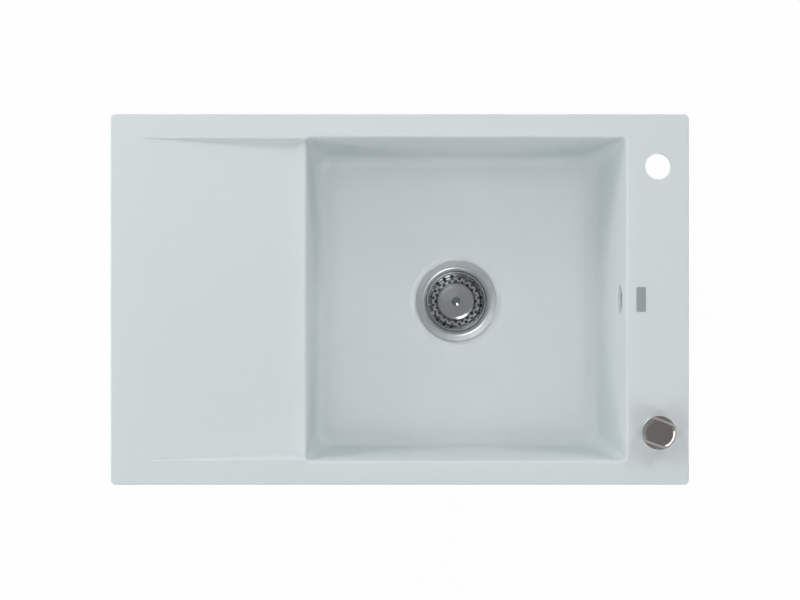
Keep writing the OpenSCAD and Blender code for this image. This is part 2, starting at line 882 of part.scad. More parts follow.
module shaft_seal() {
    thick = 1.1;
    color("#2f3132") at_rocker() translate([0, thick + fixed_gap - gland_y, 0]) rotate([90, 0, 0])
        rotate_extrude() translate([shaft_r + run_gap + thick, 0]) circle(thick, $fn = 24);
}

module gland_nut() {
    color("#c9ccca") at_rocker() difference() {
        cross_rod(gland_boss_r, gland_y, gland_y + gland_t);
        cross_rod(shaft_r + run_gap, gland_y - cut, gland_y + gland_t + cut);
    }
}

module crank_arm() {
    near = cable_side - crank_t / 2;
    far = cable_side + crank_t / 2;
    hub = 6.5;
    web = 8;
    eye = 6;
    color("#c9ccca") at_rocker(-swing) difference() {
        union() {
            cross_rod(hub, near, far);
            translate([-web / 2, -far, 0]) cube([web, crank_t, arm]);
            translate([0, 0, arm]) cross_rod(eye, near, far);
        }
        cross_rod(shaft_r + run_gap, near - cut, far + cut);
        translate([0, 0, arm]) cross_rod(nipple_r + eye_gap, near - cut, far + cut);
        translate([0, -cable_side - wire_r - free_gap, arm - eye / 2])
            cube([web, 2 * (wire_r + free_gap), eye]);
    }
}

module crank_screw() {
    far = cable_side + crank_t / 2;
    socket_r = 1.2;
    color("#a7abad") at_rocker(-swing) difference() {
        cross_rod(head_r, far, far + head_h);
        cross_rod(socket_r, far + head_h / 2, far + head_h + cut, $fn = 6);
    }
}

// Cable

module cable_bracket() {
    low = lug_y - lug_w / 2;
    high = cable_side + ferrule_r + 5;
    color("#c9ccca") at_drain() difference() {
        translate([bracket_x, -high, wire_z - lug_h / 2]) cube([bracket_t, high - low, lug_h]);
        translate([0, -cable_side, wire_z]) rotate([0, 90, 0])
            cylinder(r = ferrule_r + fixed_gap, h = 2 * bracket_x);
        bracket_screw_places() translate([0, 0, -cut])
            cylinder(r = screw_r + free_gap, h = bracket_t + 2 * cut);
    }
}

module bracket_screws() {
    color("#a7abad") at_drain() bracket_screw_places() {
        cylinder(r = screw_r, h = bracket_screw_l);
        translate([0, 0, -head_h]) cylinder(r = bracket_head_r, h = head_h);
    }
}

// Z runs from the ferrule's open end to the sheath, and the shoulder lies against what holds it
module ferrule(shoulder) {
    shoulder_w = 1.5;
    shoulder_t = 3;
    wire_room = 2; // room past the wire's end
    wire_gap = 0.2;
    difference() {
        union() {
            cylinder(r = ferrule_r, h = ferrule_l);
            translate([0, 0, shoulder]) cylinder(r = ferrule_r + shoulder_w, h = shoulder_t);
        }
        translate([0, 0, -cut]) cylinder(r = wire_r + wire_gap, h = wire_in + wire_room + cut);
    }
}

waste_ferrule_x = drain_x + bracket_x - ferrule_out;

module waste_ferrule() {
    color("#a7abad") translate([waste_ferrule_x, -cable_side, wire_z]) rotate([0, 90, 0])
        ferrule(ferrule_out + bracket_t);
}

module waste_wire() {
    nipple_x = drain_x + shaft_x - lift / 2;
    color("#b9bec0") translate([nipple_x, -cable_side, wire_z]) {
        rotate([90, 0, 0]) cylinder(r = nipple_r, h = crank_t, center = true);
        rotate([0, 90, 0]) cylinder(r = wire_r, h = waste_ferrule_x + wire_in - lift - nipple_x);
    }
}

function unit(v) = v / norm(v);
function ring_points(middle, along, r, sides) =
    let (side = unit(cross(along, [0, 1, 0])), up = cross(side, along))
    [for (k = [0:sides - 1]) middle + r * (cos(k * 360 / sides) * side + sin(k * 360 / sides) * up)];

// Joins each ring of points to the next, and closes the ends, or the last ring to the first
module skin(rings, closed = false) {
    count = len(rings);
    sides = len(rings[0]);
    walls = [
        for (i = [0:count - (closed ? 1 : 2)], k = [0:sides - 1])
            let (j = (i + 1) % count, m = (k + 1) % sides)
            each [
                [i * sides + k, i * sides + m, j * sides + m],
                [i * sides + k, j * sides + m, j * sides + k]
            ]
    ];
    ends = closed ? [] : [
        [for (k = [sides - 1:-1:0]) k],
        [for (k = [0:sides - 1]) (count - 1) * sides + k]
    ];
    polyhedron(points = [for (one = rings) each one], faces = concat(walls, ends), convexity = 8);
}

// The sheath's curve: straight down from the knob, and level into the waste's bracket
sheath_ends = [
    [hole_x, -hole_y, ferrule_top - ferrule_l],
    [hole_x, -hole_y, ferrule_top - ferrule_l - sheath_reach],
    [waste_ferrule_x + ferrule_l + sheath_reach, -cable_side, wire_z],
    [waste_ferrule_x + ferrule_l, -cable_side, wire_z]
];
sheath_rings = 32;

function bezier(p, t) = pow(1 - t, 3) * p[0] + 3 * pow(1 - t, 2) * t * p[1]
    + 3 * (1 - t) * pow(t, 2) * p[2] + pow(t, 3) * p[3];
function bezier_along(p, t) = unit(pow(1 - t, 2) * (p[1] - p[0]) + 2 * (1 - t) * t * (p[2] - p[1])
    + pow(t, 2) * (p[3] - p[2]));

module cable_sheath() {
    color("#1f2021") skin([
        for (i = [0:sheath_rings])
            ring_points(bezier(sheath_ends, i / sheath_rings), bezier_along(sheath_ends, i / sheath_rings),
                sheath_r, 8)
    ]);
}

// Knob and its drive

module knob_wire() {
    color("#b9bec0") at_knob() rod(wire_r, ferrule_top - wire_in, slider_low);
}

module knob_ferrule() {
    color("#a7abad") at_knob() translate([0, 0, ferrule_top]) rotate([180, 0, 0])
        ferrule(ferrule_top + sleeve_l + cap_t);
}

module end_cap() {
    color("#3a3c3d") at_knob() difference() {
        rod(cap_r, -sleeve_l - cap_t, -sleeve_l - cap_t + cap_h);
        rod(sleeve_r + fixed_gap, -sleeve_l, cap_h - sleeve_l);
        rod(ferrule_r + fixed_gap, -sleeve_l - cap_t - cut, cut - sleeve_l);
    }
}

module retaining_ring() {
    inside_w = 3;
    color("#8f9496") at_knob()
        ring(barrel_r - inside_w, sleeve_bore_r + circlip_groove - fixed_gap, circlip_low, circlip_top);
}

module cam_slider() {
    color("#d8d4c4") at_knob() difference() {
        rod(barrel_bore_r - run_gap, slider_low, slider_low + slider_l);
        translate([0, 0, cam_z]) rotate([0, 90, 0])
            cylinder(r = cam_pin_r + run_gap, h = 2 * barrel_r, center = true);
    }
}

module cam_pin() {
    color("#a7abad") at_knob() translate([1 - barrel_bore_r, 0, cam_z]) rotate([0, 90, 0])
        cylinder(r = cam_pin_r, h = guide_out_r + barrel_bore_r - 1);
}

// The cam barrel's slot winds up as it turns away from the pin, by one lift in one turn of the knob
module cam_slot() {
    lead = lift / knob_turn;
    end = 18; // degrees that the slot runs on past each end of the turn
    steps = 14;
    inner_r = barrel_bore_r - 3;
    outer_r = barrel_r + 2;
    half = cam_slot_r / cos(atan(lead * 180 / PI / barrel_bore_r));
    skin([
        for (i = [0:steps])
            let (
                a = -end + (knob_turn + 2 * end) * i / steps,
                z = cam_z + lead * max(0, min(knob_turn, a)),
                inner = [inner_r * cos(a), -inner_r * sin(a), z],
                outer = [outer_r * cos(a), -outer_r * sin(a), z],
                h = [0, 0, half]
            )
            [inner + h, outer + h, outer - h, inner - h]
    ]);
}

module cam_barrel() {
    color("#d8d4c4") at_knob() difference() {
        union() {
            rod(barrel_r, barrel_low, barrel_top);
            rod(stem_r, barrel_top - cut, stem_top);
        }
        rod(barrel_bore_r, barrel_low - cut, cam_z + lift + slider_l / 2 + 2);
        cam_slot();
    }
}

module actuator_sleeve() {
    color("#3a3c3d") at_knob() difference() {
        union() {
            rod(sleeve_r, -sleeve_l, sleeve_top);
            rod(sleeve_flange_r, sleeve_top - sleeve_flange_t, sleeve_top);
        }
        rod(sleeve_bore_r, -sleeve_l - cut, sleeve_top + cut);
        rod(sleeve_bore_r + circlip_groove, circlip_low, circlip_top);
        translate([0, -slot_r, cam_z - slot_r - free_gap])
            cube([2 * sleeve_r, 2 * slot_r, lift + 2 * slot_r + 2 * free_gap]);
    }
}

module deck_seal() {
    color("#2f3132") at_knob()
        ring(ledge_hole_d / 2 + fixed_gap, sleeve_flange_r, rim_h, rim_h + deck_seal_t);
}

module deck_washer() {
    color("#8f9496") at_knob() ring(sleeve_r + fixed_gap, washer_r, -step_h - washer_t, -step_h);
}

module lock_nut() {
    top = -step_h - washer_t;
    color("#c9ccca") at_knob() difference() {
        translate([0, 0, top - nut_h]) cylinder(r = nut_af / sqrt(3), h = nut_h, $fn = 6);
        rod(sleeve_r + run_gap, top - nut_h - cut, top + cut);
    }
}

module knob_base_ring() {
    color("#8d9092") at_knob()
        ring(sleeve_flange_r + fixed_gap, knob_d / 2 + base_ring_out, rim_h, rim_h + base_ring_h);
}

module control_knob() {
    r = knob_d / 2;
    edge = 1;
    hollow_y = bar_w / 2 + sqrt(pow(hollow_r, 2) - pow(hollow_r - hollow_h, 2));
    color("#6b6863") at_knob() rotate(bar_angle) difference() {
        turned([
            [0, knob_z],
            [r, knob_z],
            [r, knob_top - edge],
            [r - edge, knob_top],
            [0, knob_top]
        ]);
        for (side = [-1, 1])
            translate([0, side * hollow_y, knob_top + hollow_r - hollow_h]) rotate([0, 90, 0])
                cylinder(r = hollow_r, h = 2 * knob_d, center = true);
        rod(stem_r + run_gap, knob_z - cut, stem_top + fixed_gap);
    }
}

// Overflow

module overflow_grille() {
    edge_gap = 0.6;
    slot_half = 1.6;
    slot_near = 8.5;
    slot_far = 13.5;
    color("#b6bbbd") at_overflow() difference() {
        rod(dish_d / 2 - edge_gap, -dish_h, rosette_t - dish_h);
        for (a = [0:36:324])
            rotate(a) translate([0, 0, -dish_h - cut]) linear_extrude(rosette_t + 2 * cut) {
                translate([slot_near, -slot_half]) square([slot_far - slot_near, 2 * slot_half]);
                for (x = [slot_near, slot_far])
                    translate([x, 0]) circle(slot_half, $fn = 24);
            }
        rod(overflow_screw_r + run_gap, -dish_h - cut, 0);
    }
}

module overflow_screw() {
    socket_r = 1.4;
    color("#b6bbbd") at_overflow() difference() {
        union() {
            rod(overflow_head_r, rosette_t - dish_h, rosette_t - dish_h + head_h);
            rod(overflow_screw_r, elbow_z - overflow_screw_in, rosette_t - dish_h);
        }
        rod(socket_r, rosette_t - dish_h + head_h / 2, 0, $fn = 6);
    }
}

module overflow_gasket() {
    color("#2f3132") at_overflow() ring(overflow_hole_d / 2 + 0.5, elbow_r - 0.5, elbow_z, -dish_back);
}

module overflow_elbow() {
    inner_r = elbow_r - elbow_t;
    post_r = 5;
    post_gap = dish_back_t - 0.2; // the post stops just behind the rosette
    bore_in = 4;
    color("#e4e6e4") at_overflow() difference() {
        union() {
            difference() {
                union() {
                    rod(elbow_r, elbow_z - elbow_h, elbow_z);
                    translate([0, 0, stub_z]) rotate([0, -90, 0]) {
                        cylinder(r = stub_r + stub_step, h = stub_start);
                        cylinder(r = stub_r, h = stub_start + stub_l);
                    }
                }
                rod(inner_r, elbow_z - elbow_h + elbow_t, elbow_z + cut);
            }
            rod(post_r, elbow_z - elbow_h + elbow_t / 2, post_gap - dish_back);
        }
        translate([-inner_r + bore_in, 0, stub_z]) rotate([0, -90, 0])
            cylinder(r = stub_bore_r, h = stub_start + stub_l);
        rod(overflow_screw_r + run_gap, elbow_z - overflow_screw_in - cut, 0);
    }
}

// The hose's middle: straight down beside the bowl, round one bend, and level to the waste body
hose_down = [-sin(wall_lean), 0, -cos(wall_lean)];
hose_out = [cos(wall_lean), 0, -sin(wall_lean)];
hose_start = [overflow_x, 0, overflow_z] + stub_start * hose_down - stub_z * hose_out;
hose_end = [drain_x + port_x, 0, port_z];
hose_turn = 90 - wall_lean;
hose_corner = hose_start + (hose_start[2] - port_z) / cos(wall_lean) * hose_down;
hose_tangent = hose_bend_r * tan(hose_turn / 2);
hose_straight = norm(hose_corner - hose_start) - hose_tangent;
hose_arc = hose_bend_r * hose_turn * PI / 180;
hose_level = hose_corner[0] - hose_tangent - hose_end[0];
hose_l = hose_straight + hose_arc + hose_level;
hose_cuff = 26;
hose_bend_middle = [hose_corner[0] - hose_tangent, 0, port_z + hose_bend_r];

function hose_angle(s) = max(0, min(hose_turn, (s - hose_straight) / hose_arc * hose_turn)) + wall_lean;
function hose_along(s) = [-sin(hose_angle(s)), 0, -cos(hose_angle(s))];
function hose_middle(s) =
    s < hose_straight ? hose_start + s * hose_down
    : s > hose_straight + hose_arc ? hose_end + [hose_l - s, 0, 0]
    : hose_bend_middle + hose_bend_r * [cos(hose_angle(s)), 0, -sin(hose_angle(s))];
function hose_ring(s, r) = ring_points(hose_middle(s), hose_along(s), r, 8);

module overflow_hose() {
    ribs = floor((hose_l - 2 * hose_cuff) / rib_pitch);
    pitch = (hose_l - 2 * hose_cuff) / ribs;
    bores = ceil(hose_l / 12);
    outside = concat(
        [hose_ring(0, hose_r)],
        [for (i = [0:ribs - 1]) each [
            hose_ring(hose_cuff + i * pitch, hose_r),
            hose_ring(hose_cuff + (i + 0.5) * pitch, hose_r - rib_h)
        ]],
        [hose_ring(hose_l - hose_cuff, hose_r), hose_ring(hose_l, hose_r)]
    );
    inside = [for (i = [bores:-1:0]) hose_ring(hose_l * i / bores, hose_bore_r)];
    color("#d3d6d5") skin(concat(outside, inside), closed = true);
}

// Z runs along the hose at a distance from its start
module at_hose(s) {
    translate(hose_middle(s)) rotate([0, 180 + hose_angle(s), 0]) children();
}

module hose_clips() {
    from_end = 12;
    band_w = 9;
    band_t = 1.2;
    housing = [10, 5, 7];
    worm_r = 1;
    color("#a7abad") for (s = [from_end, hose_l - from_end])
        at_hose(s) {
            ring(hose_r + run_gap, hose_r + band_t, -band_w / 2, band_w / 2);
            translate([0, hose_r + band_t / 2 + housing[1] / 2, 0]) difference() {
                cube(housing, center = true);
                rotate([0, 90, 0]) cylinder(r = worm_r, h = 2 * housing[0], center = true);
            }
        }
}

// Fixing clips

module stud_inserts() {
    low = -step_h - block_h;
    color("#b39a5b") stud_places() ring(stud_r + run_gap, insert_r, low, low + insert_l - insert_sunk);
}

module clip_studs() {
    color("#a7abad") stud_places() rod(stud_r, -stud_l, insert_l - step_h - block_h - insert_sunk);
}

module wing_nuts() {
    top = -claw_drop - free_gap;
    low = top - wing_nut_h;
    color("#a7abad") stud_places() difference() {
        union() {
            rod(wing_nut_r, low, top);
            rotate([90, 0, 0]) linear_extrude(wing_t, center = true) polygon([
                [wing_root - wing_nut_r, low + wing_root],
                [-wing_l, top - 1.5 * wing_h],
                [-wing_l, top - wing_h / 2],
                [wing_l, top - wing_h / 2],
                [wing_l, top - 1.5 * wing_h],
                [wing_nut_r - wing_root, low + wing_root]
            ]);
        }
        rod(stud_r + run_gap, low - 2 * wing_h, top + cut);
    }
}

// X runs from the stud to the claw's tip
module claw(x, y, turn) {
    color("#b0b4b6") translate([x, y, 0]) rotate(turn) difference() {
        union() {
            translate([0, 0, -claw_drop]) linear_extrude(claw_t) {
                circle(claw_w / 2);
                translate([0, -claw_w / 2]) square([claw_l, claw_w]);
            }
            translate([claw_l - claw_t, -claw_w / 2, -claw_drop]) cube([claw_t, claw_w, claw_t + tooth_h]);
        }
        rod(stud_r + free_gap, -claw_drop - cut, cut - claw_drop + claw_t);
    }
}

module claw_front_left() { claw(-clip_spread, -stud_y, 0); }
module claw_front_middle() { claw(0, -stud_y, 0); }
module claw_front_right() { claw(clip_spread, -stud_y, 180); }
module claw_back_left() { claw(-clip_spread, stud_y, 0); }
module claw_back_middle() { claw(0, stud_y, 0); }
module claw_back_right() { claw(clip_spread, stud_y, 180); }
module claw_left() { claw(-stud_x, 0, 90); }
module claw_right() { claw(stud_x, 0, 90); }

sink_body();
name_plate();
sealing_strip();
strainer_cup();
cup_seal();
floor_gasket();
waste_body();
cup_screws();
pin_guide();
basket();
basket_seal();
basket_hub();
basket_knob();
lift_pin();
lift_finger();
rocker_shaft();
shaft_seal();
gland_nut();
crank_arm();
crank_screw();
cable_bracket();
bracket_screws();
waste_ferrule();
waste_wire();
cable_sheath();
knob_wire();
knob_ferrule();
end_cap();
retaining_ring();
cam_slider();
cam_pin();
cam_barrel();
actuator_sleeve();
deck_seal();
deck_washer();
lock_nut();
knob_base_ring();
control_knob();
overflow_grille();
overflow_screw();
overflow_gasket();
overflow_elbow();
overflow_hose();
hose_clips();
stud_inserts();
clip_studs();
wing_nuts();
claw_front_left();
claw_front_middle();
claw_front_right();
claw_back_left();
claw_back_middle();
claw_back_right();
claw_left();
claw_right();
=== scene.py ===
"""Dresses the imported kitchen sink: a composite bowl and drainer, its steel strainer, its rotary control and all
that is fitted under it. Shapes are worked out in millimetres, in the frame of the part's source."""

import json
import math

import bmesh
import bpy
from mathutils import Matrix, Vector
from mathutils.geometry import delaunay_2d_cdt


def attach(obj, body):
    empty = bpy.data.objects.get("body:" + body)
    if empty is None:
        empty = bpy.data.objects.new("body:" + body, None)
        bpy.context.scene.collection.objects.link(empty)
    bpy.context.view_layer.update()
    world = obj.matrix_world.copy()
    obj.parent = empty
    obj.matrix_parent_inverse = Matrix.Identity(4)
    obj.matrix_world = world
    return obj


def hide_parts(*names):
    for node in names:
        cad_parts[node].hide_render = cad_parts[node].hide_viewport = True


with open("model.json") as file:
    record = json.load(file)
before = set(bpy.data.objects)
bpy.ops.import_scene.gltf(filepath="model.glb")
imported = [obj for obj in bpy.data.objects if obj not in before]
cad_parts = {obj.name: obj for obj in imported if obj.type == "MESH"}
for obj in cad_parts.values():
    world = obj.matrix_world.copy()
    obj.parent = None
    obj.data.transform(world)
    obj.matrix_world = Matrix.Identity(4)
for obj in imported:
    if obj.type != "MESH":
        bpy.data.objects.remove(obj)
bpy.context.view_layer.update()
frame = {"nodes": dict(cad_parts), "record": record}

scene = bpy.context.scene
BODY_OF = {node: body for body, nodes in frame["record"]["behaviour"]["bodies"].items() for node in nodes}
SLOT_OF = {row["node"]: row["material_slot"] for row in frame["record"]["subparts"]}
MM = 0.001
SAME_POINT, SAME_WALL = 0.001 * MM, 0.02 * MM

# Sizes in millimetres, from the part's source. Only the knob's bar and its hollows, which are oval here, are not: they
# follow the photo.
SINK_W, SINK_D, CORNER_R = 780, 500, 7
RIM_H, RIM_EDGE_R, LAND_W, STEP_H = 9, 2, 12, 4
STRIP_W, STRIP_H = 6, 2
MOUTH_LEFT, MOUTH_RIGHT, MOUTH_HALF = -126, 305, 217.5
LEFT_LEAN, RIGHT_LEAN, SIDE_LEAN = 6, 21, 11
BOWL_CORNER_R, MOUTH_CORNER_R, FLOOR_FILLET_R, MOUTH_EDGE, WALL_T = 25, 5, 22, 4, 8
FLOOR_Z, UNDER_Z = -191, -201
FILLET_Z = FLOOR_Z + FLOOR_FILLET_R
DRAINER_LEFT, DRAINER_W, RIDGE_DROP, DRAINER_SIDE_W, DRAINER_T = -353, 227, 13, 17, 9
HOLE_X, HOLE_Y, HOLE_R = 348.5, 179.5, 17.5
PLATE_X, PLATE_W, PLATE_L, PLATE_T, PLATE_SUNK = 325.5, 12.5, 33.5, 0.6, 0.4
DRAIN_X, DRAIN_HOLE_R, FLANGE_R, LIP_R = 82, 45, 57, 47.4
SEAT_Z, SEAT_CLEAR, SEAT_SLOPE_W, HOLE_EDGE = -193.5, 1, 8, 5
FLANGE_Z, CUP_T, CUP_R, THROAT_R, CUP_FLOOR_Z, LIP_DROP = -191.3, 1.2, 43.2, 37.2, -239.3, 5
OVERFLOW_Z = -37
OVERFLOW_X = MOUTH_RIGHT - RIGHT_LEAN * (RIM_H - OVERFLOW_Z) / (RIM_H - FILLET_Z)
WALL_LEAN = math.degrees(math.atan(RIGHT_LEAN / (RIM_H - FILLET_Z)))
DISH_R, DISH_H, DISH_BACK, OVERFLOW_HOLE_R = 20, 8, 14, 14
STUD_X, STUD_Y, CLIP_SPREAD = 371.5, 231.5, 270
STUD_R, STUD_L, INSERT_R, INSERT_LOW, INSERT_L = 2.5, 56, 4.5, -14, 9
WING_TOP, WING_NUT_H, WING_NUT_R, WING_L, WING_H, WING_T = -36.3, 6, 4.5, 9.5, 6, 2
SCREW_R, SCREW_CIRCLE_R, HEAD_R, HEAD_H, CUP_SCREW_L = 2, 31.5, 4, 2.2, 18
BASKET_R, BASKET_RIM_W, BASKET_Z, BASKET_T = 42.4, 2.2, -197.8, 0.9
FOOT_R, FOOT_Z, DISC_Z, DISC_DOME, HUB_TOP_Z = 36.4, -221.8, -211.8, 1.2, -212.7
BASKET_HOLES, BASKET_HOLE_R, HOLE_ROWS = 20, 2.2, (28.45, 33.05)
GRIP_R, GRIP_H, GRIP_STEM_L = 6.4, 6, 8
OUTLET_R, OUTLET_Z, BOTTOM_Z, OUTLET_PITCH = 23.9, -280, -304, 2.309
KNOB_R, KNOB_Z, KNOB_H, STEM_R, STEM_IN = 22.75, 12.6, 20, 7, 12
BAR_W, HOLLOW_W, HOLLOW_H, BAR_ANGLE = 27.4, 8.6, 9, -20
BASE_RING_R, BASE_RING_H, SLEEVE_FLANGE_R, SLEEVE_R = 23.55, 3.2, 21, 16
ROSETTE_R, ROSETTE_T, ROSETTE_SLOTS = 19.4, 2.5, 10
HOSE_R, HOSE_WALL, HOSE_RIB_H, HOSE_RIB_PITCH, HOSE_CUFF, HOSE_BEND_R = 14, 4.4, 1.6, 4.6, 26, 58
HOSE_STUB_X, HOSE_STUB_START, HOSE_END_X, HOSE_END_Z = 29, 30, 144.5, -236
SHEATH_R = 3
SHEATH_ENDS = ((348.5, -179.5, -83), (348.5, -179.5, -213), (283, -58, -243.676), (153, -58, -243.676))

AT_DRAIN = Matrix.Translation((DRAIN_X, 0, 0))
AT_KNOB = Matrix.Translation((HOLE_X, -HOLE_Y, 0))
AT_OVERFLOW = (Matrix.Translation((OVERFLOW_X, 0, OVERFLOW_Z))
               @ Matrix.Rotation(math.radians(WALL_LEAN - 90), 4, "Y"))


# Camera, floor and light, in metres and watts

CAMERA_PLACE, CAMERA_SHIFT, LENS_MM, SENSOR_MM = (-0.0276, -0.0470, 3.6037), (0.0259, 0.0428), 120, 36
WHITE = (1, 1, 1, 1)
PAPER_HALF, PAPER_Z, PAPER_GLOW = 6, -0.32, 0.97
# The room as metals mirror it, from level to overhead, and its strength on matt surfaces
ROOM_LOW, ROOM_TONES, ROOM_TOP = "#fbfdfd", ((0.3, "#eceeee"), (0.55, "#bcbebe"), (0.8, "#a4a6a5")), "#a2a3a2"
ROOM_GLOW = 0.36
# Each softbox: name, place, aim, power, width and height, the angle its grid lets out, whether metals alone show it
SOFTBOXES = (
    ("back_left_softbox", (-2.3, 2.3, 1.95), (0, 0, -0.05), 41, (1.2, 1.2), 180, False),
    ("front_right_softbox", (2.3, -2.3, 1.95), (0, 0, -0.05), 25, (1.2, 1.2), 180, False),
    ("back_right_softbox", (2.3, 2.3, 1.95), (0, 0, -0.05), 37, (1.2, 1.2), 180, False),
    ("front_left_softbox", (-2.3, -2.3, 1.95), (0, 0, -0.05), 31, (1.2, 1.2), 180, False),
    ("gridded_softbox", (0.085, 0, 1.0), (0.085, 0, -0.19), 0.11, (0.39, 0.39), 7, False),
    ("left_softbox", (-2.6, 0, 0.75), (0.25, 0, -0.05), 17, (0.5, 1.6), 180, False),
    ("back_softbox", (0.085, 2.6, 0.75), (0.085, -0.2, -0.05), 12, (0.5, 1.6), 180, False),
    ("overhead_panel", (-0.42, 0.87, 3.06), (0.08, 0, -0.19), 6, (0.9, 0.9), 180, True),
    ("side_strip", (1.94, -1.62, 1.8), (0.15, -0.05, -0.05), 46, (4.6, 1.1), 180, True),
    ("front_glint", (0.79, -1.52, 2.29), (0.08, 0, -0.2), 12, (0.9, 0.75), 180, True),
)

camera = bpy.data.objects.new("camera", bpy.data.cameras.new("camera"))
scene.collection.objects.link(camera)
camera.location = CAMERA_PLACE
camera.data.lens, camera.data.sensor_width = LENS_MM, SENSOR_MM
camera.data.shift_x, camera.data.shift_y = CAMERA_SHIFT
scene.camera = camera
scene.view_settings.view_transform = "Standard"


def colour(code):
    """Linear colour from an sRGB hex code."""
    channels = [int(code[i:i + 2], 16) / 255 for i in (1, 3, 5)]
    return (*[c / 12.92 if c <= 0.04045 else ((c + 0.055) / 1.055) ** 2.4 for c in channels], 1)


def add(tree, kind, inputs=None, **settings):
    """Adds a node with its settings. An input is a value, a socket, or a node whose first output is linked."""
    node = tree.nodes.new(kind)
    for name, value in settings.items():
        setattr(node, name, value)
    for name, value in (inputs or {}).items():
        if isinstance(value, bpy.types.Node):
            value = value.outputs[0]
        if isinstance(value, bpy.types.NodeSocket):
            tree.links.new(value, node.inputs[name])
        else:
            node.inputs[name].default_value = value
    return node


def bare_tree(owner):
    """The emptied node tree of a material or a world."""
    owner.use_nodes = True
    owner.node_tree.nodes.clear()
    return owner.node_tree


def shown_rays(tree):
    """The light path's outputs, and a socket with 1 for rays from the camera, off a mirror or through glass."""
    path = add(tree, "ShaderNodeLightPath").outputs
    shown = path["Is Camera Ray"]
    for ray in ("Is Glossy Ray", "Is Transmission Ray"):
        shown = add(tree, "ShaderNodeMath", {0: shown, 1: path[ray]}, operation="MAXIMUM").outputs[0]
    return path, shown


def new_mesh(name, points, edges=(), faces=(), place=Matrix()):
    """A mesh from points in millimetres."""
    mesh = bpy.data.meshes.new(name)
    mesh.from_pydata([(place @ Vector(p)) * MM for p in points], edges, faces)
    return mesh


def place_mesh(name, mesh):
    piece = bpy.data.objects.new(name, mesh)
    scene.collection.objects.link(piece)
    return piece


def lay_floor():
    """A floor that is white to the camera and in reflections, and keeps a faint shadow."""
    mesh = bpy.data.meshes.new("floor")
    mesh.from_pydata([(x * PAPER_HALF, y * PAPER_HALF, PAPER_Z) for x, y in ((-1, -1), (1, -1), (1, 1), (-1, 1))],
                     [], [(0, 1, 2, 3)])
    floor = place_mesh("floor", mesh)
    paper = bpy.data.materials.new("white_paper")
    tree = bare_tree(paper)
    _, shown = shown_rays(tree)
    share = add(tree, "ShaderNodeMath", {0: shown, 1: PAPER_GLOW}, operation="MULTIPLY")
    matt = add(tree, "ShaderNodeBsdfDiffuse", {"Color": colour("#e8e9e9")})
    glow = add(tree, "ShaderNodeEmission", {"Color": WHITE, "Strength": 1.0})
    mix = add(tree, "ShaderNodeMixShader", {0: share, 1: matt, 2: glow})
    add(tree, "ShaderNodeOutputMaterial", {"Surface": mix})
    mesh.materials.append(paper)


def hang_softbox(name, place, aim, power, size, grid, mirrored):
    """A rectangular softbox that points at a place. It lights matt surfaces or, mirrored, shows in polished ones."""
    softbox = bpy.data.objects.new(name, bpy.data.lights.new(name, "AREA"))
    scene.collection.objects.link(softbox)
    softbox.location = place
    softbox.rotation_euler = (Vector(aim) - Vector(place)).to_track_quat("-Z", "Y").to_euler()
    softbox.data.shape = "RECTANGLE"
    softbox.data.size, softbox.data.size_y = size
    softbox.data.energy, softbox.data.spread = power, math.radians(grid)
    softbox.visible_camera, softbox.visible_diffuse, softbox.visible_glossy = False, not mirrored, mirrored


def light_room():
    """A pale even room that mirrors darker from overhead and is plain white to the camera, and the softboxes."""
    scene.world = bpy.data.worlds.new("studio")
    tree = bare_tree(scene.world)
    place = add(tree, "ShaderNodeTexCoord").outputs["Generated"]
    ramp = add(tree, "ShaderNodeValToRGB", {0: add(tree, "ShaderNodeSeparateXYZ", {0: place}).outputs["Z"]})
    stops = ramp.color_ramp.elements
    stops[0].color, stops[1].color = colour(ROOM_LOW), colour(ROOM_TOP)
    for height, code in ROOM_TONES:
        stops.new(height).color = colour(code)
    path, shown = shown_rays(tree)
    sight = add(tree, "ShaderNodeMix", {"Factor": path["Is Camera Ray"], "A": ramp, "B": WHITE}, data_type="RGBA")
    glow = add(tree, "ShaderNodeBackground", {"Color": colour("#f1f3f3"), "Strength": ROOM_GLOW})
    room = add(tree, "ShaderNodeBackground", {"Color": sight.outputs["Result"], "Strength": 1.0})
    add(tree, "ShaderNodeOutputWorld", {"Surface": add(tree, "ShaderNodeMixShader", {0: shown, 1: glow, 2: room})})
    for row in SOFTBOXES:
        hang_softbox(*row)


lay_floor()
light_room()


# Shapes

def close_up(mesh, caps=False):
    """Joins points that coincide, drops edges without faces, closes open ends and turns faces outwards."""
    work = bmesh.new()
    work.from_mesh(mesh)
    bmesh.ops.remove_doubles(work, verts=work.verts, dist=SAME_POINT)
    bmesh.ops.delete(work, geom=[e for e in work.edges if not e.link_faces], context="EDGES")
    if caps:
        bmesh.ops.holes_fill(work, edges=work.edges, sides=0)
    bmesh.ops.recalc_face_normals(work, faces=work.faces)
    work.to_mesh(mesh)
    work.free()


def solid(name, points, faces, place=Matrix()):
    """A closed piece from points and faces."""
    mesh = new_mesh(name, points, faces=faces, place=place)
    close_up(mesh)
    return place_mesh(name, mesh)


def strip_faces(first, second, count):
    """Quads between two rings that start at two point numbers."""
    return [(first + k, first + (k + 1) % count, second + (k + 1) % count, second + k) for k in range(count)]


def band_faces(rings):
    """Quads between each ring and the next, and the face that closes the last."""
    count, last = len(rings[0]), len(rings) - 1
    return ([f for i in range(last) for f in strip_faces(i * count, (i + 1) * count, count)],
            tuple(range(last * count, (last + 1) * count)))


def lofted(name, rings, place=Matrix(), closed=False):
    """A solid through rings of points, capped at its ends, or closed from the last ring to the first."""
    faces, end = band_faces(rings)
    faces += strip_faces(end[0], 0, len(end)) if closed else [tuple(range(len(end))), end]
    return solid(name, [p for ring in rings for p in ring], faces, place)


